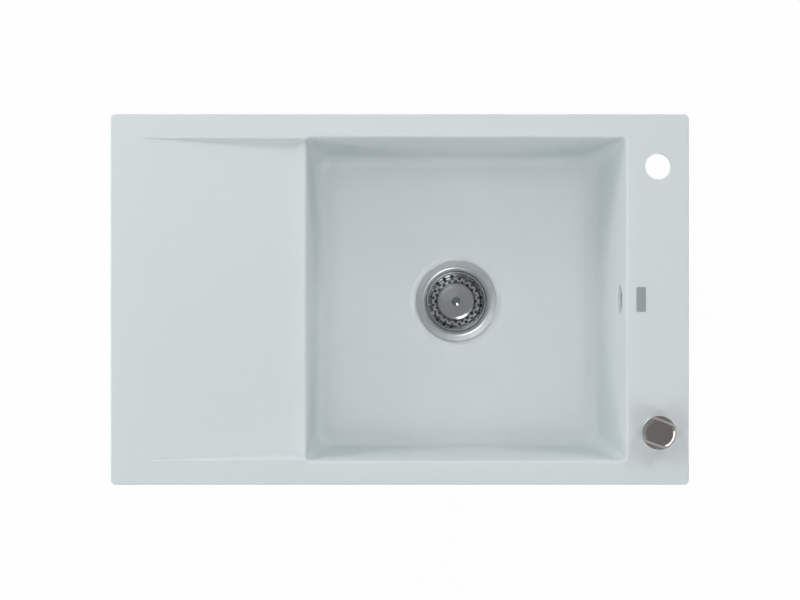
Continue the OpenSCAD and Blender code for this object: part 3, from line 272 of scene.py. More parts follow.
def softened(corners, steps=4):
    """The outline through (x, y, radius) corners, with an arc at each corner that has a radius."""
    outline = []
    for i, (x, y, radius) in enumerate(corners):
        here = Vector((x, y))
        if not radius:
            outline.append(here)
            continue
        back = Vector(corners[i - 1][:2]) - here
        on = Vector(corners[(i + 1) % len(corners)][:2]) - here
        half = back.angle(on) / 2
        reach = min(radius / math.tan(half), 0.49 * back.length, 0.49 * on.length)
        middle = here + (back.normalized() + on.normalized()).normalized() * reach / math.cos(half)
        start = here + back.normalized() * reach - middle
        end = here + on.normalized() * reach - middle
        outline += [middle + start.length * start.normalized().slerp(end.normalized(), k / steps)
                    for k in range(steps + 1)]
    return outline


def turned(name, outline, sides=96, place=Matrix()):
    """A solid of revolution about Z through (radius, height) points; one that starts on the axis ends on it."""
    rings = [at_height(round_loop(0, 0, r, sides), z) for r, z in outline]
    return lofted(name, rings, place, closed=outline[0][0] > 0)


def rod(radius, low, high, sides, place=Matrix()):
    return turned("rod", [(0, low), (radius, low), (radius, high), (0, high)], sides, place)


def rounded_loop(left, right, front, back, radius, per_corner=16, per_side=12):
    """Points of a rounded rectangle, anticlockwise from the lower end of its right side."""
    corners = [(right - radius, back - radius, 0), (left + radius, back - radius, 90),
               (left + radius, front + radius, 180), (right - radius, front + radius, 270)]
    arcs = [[(x + radius * math.cos(math.radians(a + 90 * k / per_corner)),
              y + radius * math.sin(math.radians(a + 90 * k / per_corner))) for k in range(per_corner + 1)]
            for x, y, a in corners]
    loop = []
    for i, arc in enumerate(arcs):
        (x0, y0), (x1, y1) = arcs[i - 1][-1], arc[0]
        loop += [(x0 + (x1 - x0) * k / per_side, y0 + (y1 - y0) * k / per_side) for k in range(per_side)]
        loop += arc[:-1]
    return loop


def plate_loop(w, d, radius, x=0, y=0, **counts):
    return rounded_loop(x - w / 2, x + w / 2, y - d / 2, y + d / 2, radius, **counts)


def sink_loop(inset, radius, **counts):
    return plate_loop(SINK_W - 2 * inset, SINK_D - 2 * inset, radius, **counts)


def round_loop(x, y, radius, count):
    return [(x + radius * math.cos(math.tau * k / count), y + radius * math.sin(math.tau * k / count))
            for k in range(count)]


def at_height(loop, z):
    return [(x, y, z) for x, y in loop]


def inside(loop, x, y):
    """Whether a place lies inside a loop."""
    within = False
    for (x0, y0), (x1, y1) in zip(loop, loop[1:] + loop[:1]):
        if (y0 > y) != (y1 > y) and x < x0 + (x1 - x0) * (y - y0) / (y1 - y0):
            within = not within
    return within


def sheet_between(outer, holes, height, extra=(), creases=()):
    """Triangles that fill a loop around its holes, through extra points and along creases between them."""
    points, edges = [], []
    for loop in [outer, *holes]:
        start = len(points)
        points += [Vector(p) for p in loop]
        edges += [(start + k, start + (k + 1) % len(loop)) for k in range(len(loop))]
    start = len(points)
    points += [Vector(p) for p in extra]
    edges += [(start + a, start + b) for a, b in creases]
    spots, _, triangles, *_ = delaunay_2d_cdt(points, edges, [], 0, 1e-5)
    kept = []
    for triangle in triangles:
        x = sum(spots[i].x for i in triangle) / 3
        y = sum(spots[i].y for i in triangle) / 3
        if inside(outer, x, y) and not any(inside(hole, x, y) for hole in holes):
            kept.append(tuple(triangle))
    return [(p.x, p.y, height(p.x, p.y)) for p in spots], kept


def settle(piece):
    """Turns a piece and its modifiers into a plain mesh."""
    mesh = bpy.data.meshes.new_from_object(piece.evaluated_get(bpy.context.evaluated_depsgraph_get()))
    piece.modifiers.clear()
    piece.data = mesh
    return piece


def combined(piece, *others, operation="DIFFERENCE"):
    """A piece after a difference, union or intersection with other solids in turn, which are used up."""
    for other in others:
        step = piece.modifiers.new("combine", "BOOLEAN")
        step.object, step.operation, step.solver = other, operation, "MANIFOLD"
        settle(piece)
        bpy.data.objects.remove(other)
    return piece


def fit(piece, node, material=None, edge=0.0, angle=30, weighted=True):
    """Finishes a piece: rounded edges, smooth curves, its own finish or its slot's, and the node it stands for."""
    mesh = piece.data
    mesh.materials.clear()
    mesh.materials.append(material or FINISHES[SLOT_OF[node]])
    mesh.polygons.foreach_set("material_index", [0] * len(mesh.polygons))
    mesh.shade_smooth()
    if edge:
        bevel = piece.modifiers.new("edges", "BEVEL")
        bevel.width, bevel.segments, bevel.limit_method = edge * MM, 2, "ANGLE"
        bevel.angle_limit = math.radians(angle)
        bevel.harden_normals = False
    else:
        mesh.set_sharp_from_angle(angle=math.radians(angle))
    if weighted:
        piece.modifiers.new("normals", "WEIGHTED_NORMAL").keep_sharp = True
    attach(piece, BODY_OF[node])
    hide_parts(node)


def plain_copy(node):
    """A copy of a node's solid with its loose triangles joined into whole faces."""
    mesh = frame["nodes"][node].data.copy()
    work = bmesh.new()
    work.from_mesh(mesh)
    bmesh.ops.remove_doubles(work, verts=work.verts, dist=SAME_POINT)
    bmesh.ops.dissolve_limit(work, angle_limit=math.radians(0.5), verts=work.verts, edges=work.edges,
                             use_dissolve_boundaries=False)
    work.to_mesh(mesh)
    work.free()
    return place_mesh(node + "_shown", mesh)


# Sink body

def leaned(z):
    """0 at the bowl's mouth and 1 where the floor's fillet starts."""
    return min(1, (RIM_H - z) / (RIM_H - FILLET_Z))


def bowl_loop(z, grow=0.0):
    """The bowl's outline at a height, moved outwards. Its corners open up on their way down."""
    lean = leaned(z)
    half = MOUTH_HALF - SIDE_LEAN * lean + grow
    corner = MOUTH_CORNER_R + (BOWL_CORNER_R - MOUTH_CORNER_R) * lean
    return rounded_loop(MOUTH_LEFT + LEFT_LEAN * lean - grow, MOUTH_RIGHT - RIGHT_LEAN * lean + grow,
                        -half, half, max(1, corner + grow))


def fillet_rings(grow, low, steps):
    """Rings round the fillet between the walls and the floor, down to the floor."""
    r = FLOOR_FILLET_R + grow
    return [at_height(bowl_loop(FILLET_Z, grow - r * (1 - math.cos(a))), low + r - r * math.sin(a))
            for a in (math.pi / 2 * k / steps for k in range(steps + 1))]


def side_fall(u):
    """Share of the drainer's depth at a share of its side's width: a rounded edge, then a hollow fillet."""
    u = min(max(u, 0.0), 1.0)
    edge = min(u / 0.2, 1.0)
    return (1 - (1 - u) ** 2.3) * edge * edge * (3 - 2 * edge)


def deck_height(x, y):
    """Height of the rim and the drainer, also where they meet the bowl's mouth."""
    if x <= DRAINER_LEFT or x > MOUTH_LEFT + 40 or abs(y) >= MOUTH_HALF:
        return RIM_H
    depth = RIDGE_DROP * (x - DRAINER_LEFT) / DRAINER_W
    side = DRAINER_SIDE_W * depth / RIDGE_DROP
    return RIM_H - depth * side_fall((MOUTH_HALF - abs(y)) / side)


def drainer_lines():
    """Points along the rulings of the drainer's sides, and the creases that join them."""
    shares = [0, 0.03, 0.07, 0.12, 0.17, 0.23, 0.31, 0.41, 0.53, 0.68, 0.84, 1]
    along = [0, 0.03, 0.08, 0.16, 0.27, 0.4, 0.54, 0.68, 0.81, 0.92, 1.0, 1.04, 1.08]
    room = MOUTH_EDGE + 1.2
    clear = rounded_loop(MOUTH_LEFT - room, MOUTH_RIGHT, -MOUTH_HALF - room, MOUTH_HALF + room, MOUTH_CORNER_R + room)
    points, creases = [], []
    for end in (-1, 1):
        for share in shares:
            last = None
            for part in along:
                x = DRAINER_LEFT + DRAINER_W * part
                y = end * (MOUTH_HALF - DRAINER_SIDE_W * part * share)
                if part and inside(clear, x, y):
                    break
                if part == 0 and share:
                    continue
                points.append((x, y))
                if last is not None:
                    creases.append((last, len(points) - 1))
                last = len(points) - 1
    return points, creases


def top_form():
    """All that lies under the sink's upper surface, with the bowl, the drainer and the holes let into it."""
    points, faces = [], []

    def take(new_points, new_faces):
        start = len(points)
        points.extend(new_points)
        faces.extend(tuple(start + i for i in f) for f in new_faces)

    def take_rings(rings, cap=False):
        bands, end = band_faces(rings)
        take([p for ring in rings for p in ring], bands + [end] * cap)

    def rim_ring(inset, z):
        return at_height(sink_loop(inset, CORNER_R - inset, per_corner=10, per_side=8), z)

    arc = [math.pi / 2 * k / 8 for k in range(9)]
    edge = [rim_ring(RIM_EDGE_R * (1 - math.cos(a)), RIM_H - RIM_EDGE_R * (1 - math.sin(a))) for a in arc]
    take_rings(list(reversed(edge)) + [rim_ring(0, -230)], cap=True)

    mouth = bowl_loop(RIM_H, MOUTH_EDGE)
    heights = [deck_height(x, y) for x, y in mouth]
    rounding = [[(x, y, z - MOUTH_EDGE * (1 - math.cos(a))) for (x, y), z in
                 zip(bowl_loop(RIM_H, MOUTH_EDGE * (1 - math.sin(a))), heights)] for a in arc]
    wall = []
    for share in (0.06, 0.15, 0.3, 0.5, 0.75, 0.93):
        levels = [z - MOUTH_EDGE + (FILLET_Z - z + MOUTH_EDGE) * share for z in heights]
        loops = {level: bowl_loop(level) for level in set(levels)}
        wall.append([(*loops[level][i], level) for i, level in enumerate(levels)])
    fillet = fillet_rings(0, FLOOR_Z, 12)
    hold = at_height(bowl_loop(FILLET_Z, -FLOOR_FILLET_R - 1.5), FLOOR_Z)
    take_rings(rounding + wall + fillet + [hold])

    sides = 144
    seat_r = FLANGE_R + SEAT_CLEAR
    slope = [(seat_r + SEAT_SLOPE_W * (1 - k / 10),
              FLOOR_Z + (SEAT_Z - FLOOR_Z) * (1 - math.cos(math.pi * k / 10)) / 2) for k in range(11)]
    throat = [(DRAIN_HOLE_R + HOLE_EDGE * (1 - math.sin(a)), SEAT_Z - HOLE_EDGE * (1 - math.cos(a))) for a in arc]
    drain = [at_height(round_loop(DRAIN_X, 0, r, sides), z)
             for r, z in [*slope, *throat, (DRAIN_HOLE_R, -215)]]
    take_rings(drain, cap=True)
    take(*sheet_between([p[:2] for p in hold], [[p[:2] for p in drain[0]]], lambda x, y: FLOOR_Z))

    holes = [mouth]
    for y in (HOLE_Y, -HOLE_Y):
        rings = [at_height(round_loop(HOLE_X, y, HOLE_R + 0.8 * (1 - math.sin(a)), 96),
                           RIM_H - 0.8 * (1 - math.cos(a))) for a in arc[::2]]
        rings.append(at_height(round_loop(HOLE_X, y, HOLE_R, 96), -20))
        take_rings(rings, cap=True)
        holes.append([p[:2] for p in rings[0]])
    recess = [at_height(plate_loop(PLATE_W + 2 * g, PLATE_L + 2 * g, 1 + g, PLATE_X, per_corner=5, per_side=1), z)
              for g, z in ((0.35, RIM_H), (0.18, RIM_H - 0.07), (0.1, RIM_H - 0.22), (0.1, RIM_H - PLATE_SUNK))]
    take_rings(recess, cap=True)
    holes.append([p[:2] for p in recess[0]])

    lines, creases = drainer_lines()
    ends = [k for k, (x, _) in enumerate(lines) if x == DRAINER_LEFT]
    creases += list(zip(ends, ends[1:]))
    take(*sheet_between([p[:2] for p in edge[-1]], holes, deck_height, lines, creases))
    return solid("top_form", points, faces)


def under_form():
    """The sink from below: rim, deck, the bowl's outside, the drainer's wedge, the overflow's boss and blocks."""
    form = lofted("under_form", [at_height(sink_loop(-10, CORNER_R, per_corner=4, per_side=1), z) for z in (0, 40)])
    lower = [(1.2 * (1 - math.cos(a)), -STEP_H + 1.2 * (1 - math.sin(a))) for a in
             (math.pi / 2 * k / 4 for k in range(4, -1, -1))]
    parts = [lofted("deck", [at_height(sink_loop(LAND_W + g, CORNER_R - g, per_corner=10, per_side=2), z)
                             for g, z in [*lower, (0, 1)]])]
    walls = [at_height(bowl_loop(z, WALL_T), z) for z in (6, -40, -90, -140)]
    parts.append(lofted("bowl_outside", walls + fillet_rings(WALL_T, UNDER_Z, 12)))
    start = DRAINER_LEFT + DRAINER_W * (RIM_H - DRAINER_T + STEP_H) / RIDGE_DROP
    half = MOUTH_HALF + WALL_T
    wedge = [(start, -STEP_H), (start, -STEP_H + 1), (MOUTH_LEFT, -STEP_H + 1),
             (MOUTH_LEFT, RIM_H - RIDGE_DROP - DRAINER_T)]
    parts.append(lofted("drainer_wedge", [[(x, y, z) for x, z in wedge] for y in (-half, half)]))
    boss = softened([(0, -DISH_BACK, 0), (DISH_R + WALL_T, -DISH_BACK, 1.5), (DISH_R + WALL_T, -2, 0), (0, -2, 0)])
    parts.append(turned("overflow_boss", boss, 96, AT_OVERFLOW))
    for x, y, w, d in clip_places(16, 12):
        block = [at_height(plate_loop(w - 2 * g, d - 2 * g, 1.2, x, y, per_corner=3, per_side=1), z)
                 for g, z in ((0.8, -STEP_H - 10), (0, -STEP_H - 9.2), (0, -STEP_H + 0.5))]
        parts.append(lofted("block", block))
    return combined(form, *parts, operation="UNION")


def clip_places(along, across):
    """Where the eight fixing clips are, each with a size along X and one along Y."""
    return ([(x * CLIP_SPREAD, y * STUD_Y, along, across) for y in (-1, 1) for x in (-1, 0, 1)]
            + [(x * STUD_X, 0, across, along) for x in (-1, 1)])


def make_sink_body():
    body = combined(top_form(), under_form(), operation="INTERSECT")
    middle, bend = LAND_W / 2, CORNER_R + STRIP_W / 2
    groove = [(middle - STRIP_W / 2, bend), (middle + STRIP_W / 2, bend - STRIP_W)]
    near, far = [sink_loop(inset, r, per_corner=8, per_side=2) for inset, r in groove]
    cuts = [lofted("strip_groove", [at_height(near, -1), at_height(near, STRIP_H), at_height(far, STRIP_H),
                                    at_height(far, -1)], closed=True)]
    cuts += [rod(INSERT_R + 0.1, INSERT_LOW - 1, INSERT_LOW + INSERT_L, 32, Matrix.Translation((x, y, 0)))
             for x, y, _, _ in clip_places(16, 12)]
    dish = softened([(0, 6, 0), (29, 6, 0), (DISH_R + 2.6, 0.4, 3), (DISH_R - 0.6, -2.2, 2.5),
                     (DISH_R - 1.2, -DISH_H, 1.6), (0, -DISH_H, 0)], 6)
    cuts.append(turned("overflow_dish", dish, 96, AT_OVERFLOW))
    body = combined(body, *cuts, rod(OVERFLOW_HOLE_R, -DISH_BACK - 4, 0, 64, AT_OVERFLOW))
    body.name = "composite_sink"
    fit(body, "sink_body")


# Node trees for what repeats or follows a path

def open_tree(name, floats, counts=()):
    """A tree that reshapes its object, with named sizes and a material as inputs."""
    tree = bpy.data.node_groups.new(name, "GeometryNodeTree")
    kinds = {"Shape": "Geometry", **dict.fromkeys(counts, "Int"), **dict.fromkeys(floats, "Float"),
             "Material": "Material"}
    for label, kind in kinds.items():
        tree.interface.new_socket(label, in_out="INPUT", socket_type="NodeSocket" + kind)
    tree.interface.new_socket("Shape", in_out="OUTPUT", socket_type="NodeSocketGeometry")
    return tree, {socket.name: socket for socket in add(tree, "NodeGroupInput").outputs}


def close_tree(tree, given, shape):
    """Ends a tree in plain geometry that carries its material."""
    real = add(tree, "GeometryNodeRealizeInstances", {"Geometry": shape})
    dressed = add(tree, "GeometryNodeSetMaterial", {"Geometry": real, "Material": given["Material"]})
    add(tree, "NodeGroupOutput", {"Shape": dressed})
    return tree


def ring_tree():
    """Copies of a shape at even steps round the Z axis, each turned to face outwards."""
    tree, given = open_tree("copies_round_an_axis", ("Ring Radius", "First Angle"), ("Count",))
    ring = add(tree, "GeometryNodeMeshCircle", {"Vertices": given["Count"], "Radius": given["Ring Radius"]})
    step = add(tree, "ShaderNodeMath", {0: math.tau, 1: given["Count"]}, operation="DIVIDE")
    turn = add(tree, "ShaderNodeMath", {0: add(tree, "GeometryNodeInputIndex"), 1: step}, operation="MULTIPLY")
    copies = add(tree, "GeometryNodeInstanceOnPoints", {
        "Points": ring, "Instance": given["Shape"], "Rotation": add(tree, "ShaderNodeCombineXYZ", {"Z": turn})})
    first = add(tree, "ShaderNodeCombineXYZ", {"Z": given["First Angle"]})
    return close_tree(tree, given, add(tree, "GeometryNodeTransform", {"Geometry": copies, "Rotation": first}))


def clip_tree():
    """Copies of a shape at the eight fixing clips: three at the front, three at the back, one at each end."""
    tree, given = open_tree("copies_at_the_clips", ("Spread", "Side", "End"))
    twice = {label: add(tree, "ShaderNodeMath", {0: given[label], 1: 2}, operation="MULTIPLY")
             for label in ("Spread", "Side", "End")}
    left = add(tree, "ShaderNodeMath", {0: given["End"], 1: -1}, operation="MULTIPLY")
    rows = add(tree, "GeometryNodeMeshGrid", {"Vertices X": 3, "Vertices Y": 2, "Size X": twice["Spread"],
                                              "Size Y": twice["Side"]})
    ends = add(tree, "GeometryNodeMeshLine", {
        "Count": 2, "Start Location": add(tree, "ShaderNodeCombineXYZ", {"X": left}),
        "Offset": add(tree, "ShaderNodeCombineXYZ", {"X": twice["End"]})})
    along = add(tree, "GeometryNodeInstanceOnPoints", {"Points": rows, "Instance": given["Shape"]})
    across = add(tree, "GeometryNodeInstanceOnPoints", {"Points": ends, "Instance": given["Shape"],
                                                        "Rotation": (0, 0, math.pi / 2)})
    both = add(tree, "GeometryNodeJoinGeometry", {0: along})
    tree.links.new(across.outputs[0], both.inputs[0])
    return close_tree(tree, given, both)


def thread_tree():
    """Winds a groove into the wall of one radius, and lets it run out at both ends."""
    tree, known = open_tree("wound_thread", ("Radius", "Depth", "Pitch", "Low", "High"))
    split = add(tree, "ShaderNodeSeparateXYZ", {0: add(tree, "GeometryNodeInputPosition")}).outputs
    flat = add(tree, "ShaderNodeCombineXYZ", {"X": split["X"], "Y": split["Y"]})
    known["x"], known["y"], known["z"] = split
    known["radius"] = add(tree, "ShaderNodeVectorMath", {0: flat}, operation="LENGTH").outputs["Value"]
    for name, operation, first, second in (
            ("angle", "ARCTAN2", "y", "x"), ("turns", "DIVIDE", "angle", math.tau), ("rise", "DIVIDE", "z", "Pitch"),
            ("phase", "SUBTRACT", "rise", "turns"), ("wave", "PINGPONG", "phase", 0.5),
            ("above", "SUBTRACT", "z", "Low"), ("below", "SUBTRACT", "High", "z"),
            ("nearest", "MINIMUM", "above", "below"), ("runout", "DIVIDE", "nearest", "Pitch"),
            ("groove", "MULTIPLY", "wave", "runout"), ("depth", "MULTIPLY", "groove", "Depth"),
            ("inwards", "MULTIPLY", "depth", -2), ("off", "SUBTRACT", "radius", "Radius"),
            ("gap", "ABSOLUTE", "off", 0.0), ("on_wall", "LESS_THAN", "gap", SAME_WALL)):
        known[name] = add(tree, "ShaderNodeMath", {0: known.get(first, first), 1: known.get(second, second)},
                          operation=operation, use_clamp=name == "runout")
    outwards = add(tree, "ShaderNodeVectorMath", {0: flat}, operation="NORMALIZE")
    shift = add(tree, "ShaderNodeVectorMath", {0: outwards, "Scale": known["inwards"]}, operation="SCALE")
    return close_tree(tree, known, add(tree, "GeometryNodeSetPosition", {
        "Geometry": known["Shape"], "Selection": known["on_wall"], "Offset": shift}))


def tube_tree():
    """A tube along a line of points, with grooves at an even pitch between two plain cuffs."""
    tree, known = open_tree("ribbed_tube", ("Radius", "Groove", "Pitch", "Cuff", "Step"), ("Sides",))
    line = add(tree, "GeometryNodeMeshToCurve", {"Mesh": known["Shape"]})
    even = add(tree, "GeometryNodeResampleCurve", {"Curve": line, "Length": known["Step"]}, mode="LENGTH")
    upright = add(tree, "GeometryNodeSetCurveNormal", {"Curve": even}, mode="MINIMUM_TWIST")
    known["total"] = add(tree, "GeometryNodeCurveLength", {0: even})
    known["run"] = add(tree, "GeometryNodeSplineParameter").outputs["Length"]
    for name, operation, first, second in (
            ("past", "SUBTRACT", "run", "Cuff"), ("left", "SUBTRACT", "total", "run"),
            ("short", "SUBTRACT", "left", "Cuff"), ("nearest", "MINIMUM", "past", "short"),
            ("ribbed", "GREATER_THAN", "nearest", 0.0), ("turns", "DIVIDE", "past", "Pitch"),
            ("swing", "MULTIPLY", "turns", math.tau), ("wave", "COSINE", "swing", 0.0)):
        known[name] = add(tree, "ShaderNodeMath", {0: known.get(first, first), 1: known.get(second, second)},
                          operation=operation)
    share = add(tree, "ShaderNodeMapRange", {"Value": known["wave"], "From Min": -0.8, "From Max": 0.8, "To Min": 1.0,
                                             "To Max": 0.0}, interpolation_type="SMOOTHSTEP")
    groove = add(tree, "ShaderNodeMath", {0: share, 1: known["ribbed"]}, operation="MULTIPLY")
    depth = add(tree, "ShaderNodeMath", {0: groove, 1: known["Groove"]}, operation="MULTIPLY")
    reach = add(tree, "ShaderNodeMath", {0: known["Radius"], 1: depth}, operation="SUBTRACT")
    circle = add(tree, "GeometryNodeCurvePrimitiveCircle", {"Resolution": known["Sides"], "Radius": 1.0})
    return close_tree(tree, known, add(tree, "GeometryNodeCurveToMesh", {
        "Curve": upright, "Profile Curve": circle, "Scale": reach}))


COPIES_ROUND, COPIES_AT_CLIPS, WOUND_THREAD, RIBBED_TUBE = ring_tree(), clip_tree(), thread_tree(), tube_tree()


def shaped(piece, tree, material=None, **sizes):
    """Runs a tree with its sizes in metres, counts or radians on a piece, and keeps the plain mesh."""
    step = piece.modifiers.new("shape", "NODES")
    step.node_group = tree
    inputs = {item.name: item.identifier for item in tree.interface.items_tree if item.in_out == "INPUT"}
    for label, value in {**sizes, "Material": material}.items():
        step[inputs[label.replace("_", " ")]] = value
    return settle(piece)


def bores(radius, low, high, count, ring_radius, first=0.0):
    """Rods to cut a ring of holes round the drain's axis with."""
    return moved(shaped(rod(radius, low, high, 40), COPIES_ROUND, Count=count, Ring_Radius=ring_radius * MM,
                        First_Angle=math.radians(first)), AT_DRAIN)


def thread_cutter(radius, low, high, depth, pitch, sides=96):
    """A sleeve whose inner wall winds into a rod of a radius."""
    levels = round(8 * (high - low) / pitch)
    wall = radius + 0.03
    outline = [(wall + 3, low), (wall + 3, high)] + [(wall, high + (low - high) * k / levels)
                                                     for k in range(levels + 1)]
    return shaped(turned("thread_cutter", outline, sides), WOUND_THREAD, Radius=wall * MM, Depth=(depth + 0.03) * MM,
                  Pitch=pitch * MM, Low=low * MM, High=high * MM)


# Pieces that show from above

def moved(piece, place):
    """Moves a piece's mesh by a matrix whose lengths are in millimetres."""
    shift = place.copy()
    shift.translation *= MM
    piece.data.transform(shift)
    return piece


def make_plate():
    """The small plate in its recess: a bare field inside a narrow raised frame."""
    low, high = RIM_H - PLATE_SUNK, RIM_H - PLATE_SUNK + PLATE_T
    steps = ((0.12, low), (0, low + 0.12), (0, high - 0.15), (0.05, high - 0.05), (0.15, high), (0.75, high),
             (0.83, high - 0.03), (0.9, high - 0.1), (1.0, high - 0.12))
    rings = [at_height(plate_loop(PLATE_W - 2 * g, PLATE_L - 2 * g, max(0.3, 1 - g), PLATE_X, per_corner=6,
                                  per_side=4), z) for g, z in steps]
    fit(lofted("bare_plate", rings), "name_plate", angle=40)


def make_cup():
    """The strainer cup: a dished flange, a rolled lip, and a perforated floor."""
    t, under = CUP_T, SEAT_Z + 1
    outline = softened([
        (0, CUP_FLOOR_Z, 0), (THROAT_R, CUP_FLOOR_Z, 3), (THROAT_R, -224.5, 2), (CUP_R, -219.5, 2),
        (CUP_R, FLANGE_Z - 4.2, 1.5), (LIP_R - 0.7, FLANGE_Z - 0.75, 0.8), (LIP_R + 0.6, FLANGE_Z - 0.35, 0.5),
        (LIP_R + 2.1, FLANGE_Z - 0.86, 1), (FLANGE_R, FLANGE_Z, 0.5), (FLANGE_R, under, 0.3),
        (LIP_R + 3, under, 0.5), (LIP_R + 0.4, under - 0.9, 1), (CUP_R + t, FLANGE_Z - LIP_DROP - 1.8, 2),
        (CUP_R + t, -220, 2), (THROAT_R + t, -225, 2), (THROAT_R + t, CUP_FLOOR_Z - t, 3), (0, CUP_FLOOR_Z - t, 0)], 5)
    cup = moved(turned("steel_cup", outline, 144), AT_DRAIN)
    low, high = CUP_FLOOR_Z - 2 * t, CUP_FLOOR_Z + t
    slots = [(6, 3, SCREW_CIRCLE_R - 1.5, first) for first in (35, 60, 85)]
    holes = [bores(radius, low, high, count, ring, first) for radius, count, ring, first in
             (*slots, (4, 6, 16, 30), (SCREW_R + 0.3, 3, SCREW_CIRCLE_R, 0))]
    cup = combined(cup, *holes, rod(6.1, low, high, 48, AT_DRAIN))
    fit(cup, "strainer_cup", edge=0.12, angle=50)


def make_basket():
    """The basket: a rolled rim, two staggered rings of holes round a broad domed disc, and its grip."""
    t, dome_r, fall, grip_top_r = BASKET_T, 22.3, 0.7, 2.4
    dome = [(r, DISC_Z + DISC_DOME * (1 - fall * r / dome_r), 0) for r in (0, 4, 8, 12, 16, 20)]
    top = [*dome, (dome_r, DISC_Z + 0.35, 2), (25.9, DISC_Z - 0.75, 1.2), (28, FOOT_Z + 1.2, 1.6),
           (35.2, FOOT_Z + 1.2, 2.6), (BASKET_R - BASKET_RIM_W, BASKET_Z - 0.1, 1.1), (BASKET_R, BASKET_Z, 0.4)]
    under = [(BASKET_R, BASKET_Z - t, 0.3), (BASKET_R - BASKET_RIM_W + 0.9, BASKET_Z - t - 0.1, 1),
             (FOOT_R, FOOT_Z + 0.6, 2.6), (FOOT_R - 1.4, FOOT_Z, 0.8), (27.2, FOOT_Z, 1.5),
             (25.3, DISC_Z - 1.3 - t, 1.2), (23.2, DISC_Z - t, 3), (10, HUB_TOP_Z, 0), (0, HUB_TOP_Z, 0)]
    bowl = moved(turned("steel_basket", softened(top + under, 8), 160), AT_DRAIN)
    holes = [bores(BASKET_HOLE_R, FOOT_Z - 2, DISC_Z + 1, BASKET_HOLES, ring, 180 * row / BASKET_HOLES)
             for row, ring in enumerate(HOLE_ROWS)]
    bowl = combined(bowl, *holes, rod(SCREW_R + 0.05, -230, -205, 32, AT_DRAIN))
    fit(bowl, "basket", edge=0.15, angle=50)
    low = DISC_Z + DISC_DOME
    grip = softened([(0, HUB_TOP_Z - GRIP_STEM_L, 0), (SCREW_R, HUB_TOP_Z - GRIP_STEM_L, 0.5), (SCREW_R, low, 0),
                     (GRIP_R * 0.62, low, 0.3), (GRIP_R * 0.6, low + GRIP_H * 0.42, 1.2),
                     (GRIP_R, low + GRIP_H * 0.5, 0.6), (GRIP_R, low + GRIP_H * 0.77, 0.6),
                     (grip_top_r, low + GRIP_H * 0.98, 0.6), (0, low + GRIP_H, 0)], 8)
    # The grip's steel is darkened: painted shade for the dark patch on the grip
    fit(turned("steel_grip", grip, 72, AT_DRAIN), "basket_knob", GRIP_STEEL_PAINTED_DARK, angle=40)


def make_knob():
    """The control knob: a bar between two scooped hollows, and the ring that it turns in."""
    top = KNOB_Z + KNOB_H
    at_bar = AT_KNOB @ Matrix.Rotation(math.radians(BAR_ANGLE), 4, "Z")
    body = softened([(0, KNOB_Z, 0), (KNOB_R - 0.3, KNOB_Z, 0.6), (KNOB_R, top - 4.2, 2.5), (20.3, top - 1.3, 0.8),
                     (17.8, top, 0.5), (0, top, 0)], 10)
    knob = turned("chrome_knob", body, 160, at_bar)
    for side in (-1, 1):
        oval = [(side * (BAR_W / 2 + HOLLOW_W + HOLLOW_W * y), top + HOLLOW_H * z) for y, z in round_loop(0, 0, 1, 96)]
        knob = combined(knob, lofted("scoop", [[(x, y, z) for y, z in oval] for x in (-30, 30)], at_bar))
    knob = combined(knob, rod(STEM_R + 0.05, KNOB_Z - 1, KNOB_Z + STEM_IN + 0.1, 64, at_bar))
    fit(knob, "control_knob", edge=0.8, angle=35)
    bore_r, ring_top = SLEEVE_FLANGE_R + 0.1, RIM_H + BASE_RING_H
    ring = softened([(bore_r, RIM_H, 0), (BASE_RING_R, RIM_H, 0.2), (BASE_RING_R, ring_top, 1.1),
                     (bore_r, ring_top, 0.4)], 6)
    fit(turned("chrome_ring", ring, 144, AT_KNOB), "knob_base_ring", BRIGHT_CHROME, angle=40)


def make_rosette():
    """The overflow's rosette: a slightly domed disc with ten slots, held by a socket screw."""
    top = -DISH_H + ROSETTE_T
    disc = softened([(0, -DISH_H, 0), (ROSETTE_R, -DISH_H, 0.3), (ROSETTE_R, top - 0.4, 0.9), (6, top, 2),
                     (0, top, 0)], 6)
    rosette = turned("steel_rosette", disc, 128)
    ring_r, half_l, half_w = 11, 4.1, 1.6
    loop = rounded_loop(-half_l, half_l, -half_w, half_w, half_w - 0.01, per_corner=6, per_side=2)
    slot = lofted("slots", [at_height(loop, z) for z in (-DISH_H - 1, top + 1)])
    slots = shaped(slot, COPIES_ROUND, Count=ROSETTE_SLOTS, Ring_Radius=ring_r * MM, First_Angle=0.0)
    rosette = combined(rosette, slots, rod(2.55, -20, 0, 32))
    fit(moved(rosette, AT_OVERFLOW), "overflow_grille", BRIGHT_CHROME, edge=0.25, angle=40)
    head = softened([(0, -DISH_H - 18, 0), (2.5, -DISH_H - 18, 0.5), (2.5, top, 0), (4.5, top, 0.2),
                     (4.5, top + HEAD_H, 1.0), (0, top + HEAD_H, 0)], 6)
    screw = turned("socket_screw", head, 64)
    screw = combined(screw, rod(1.4, top + HEAD_H / 2, 0, 6))
    fit(moved(screw, AT_OVERFLOW), "overflow_screw", edge=0.1, angle=50)


# Pieces below and inside

def line_piece(name, points):
    """A bare line of points in millimetres for a tube to follow."""
    return place_mesh(name, new_mesh(name, points, [(k, k + 1) for k in range(len(points) - 1)]))


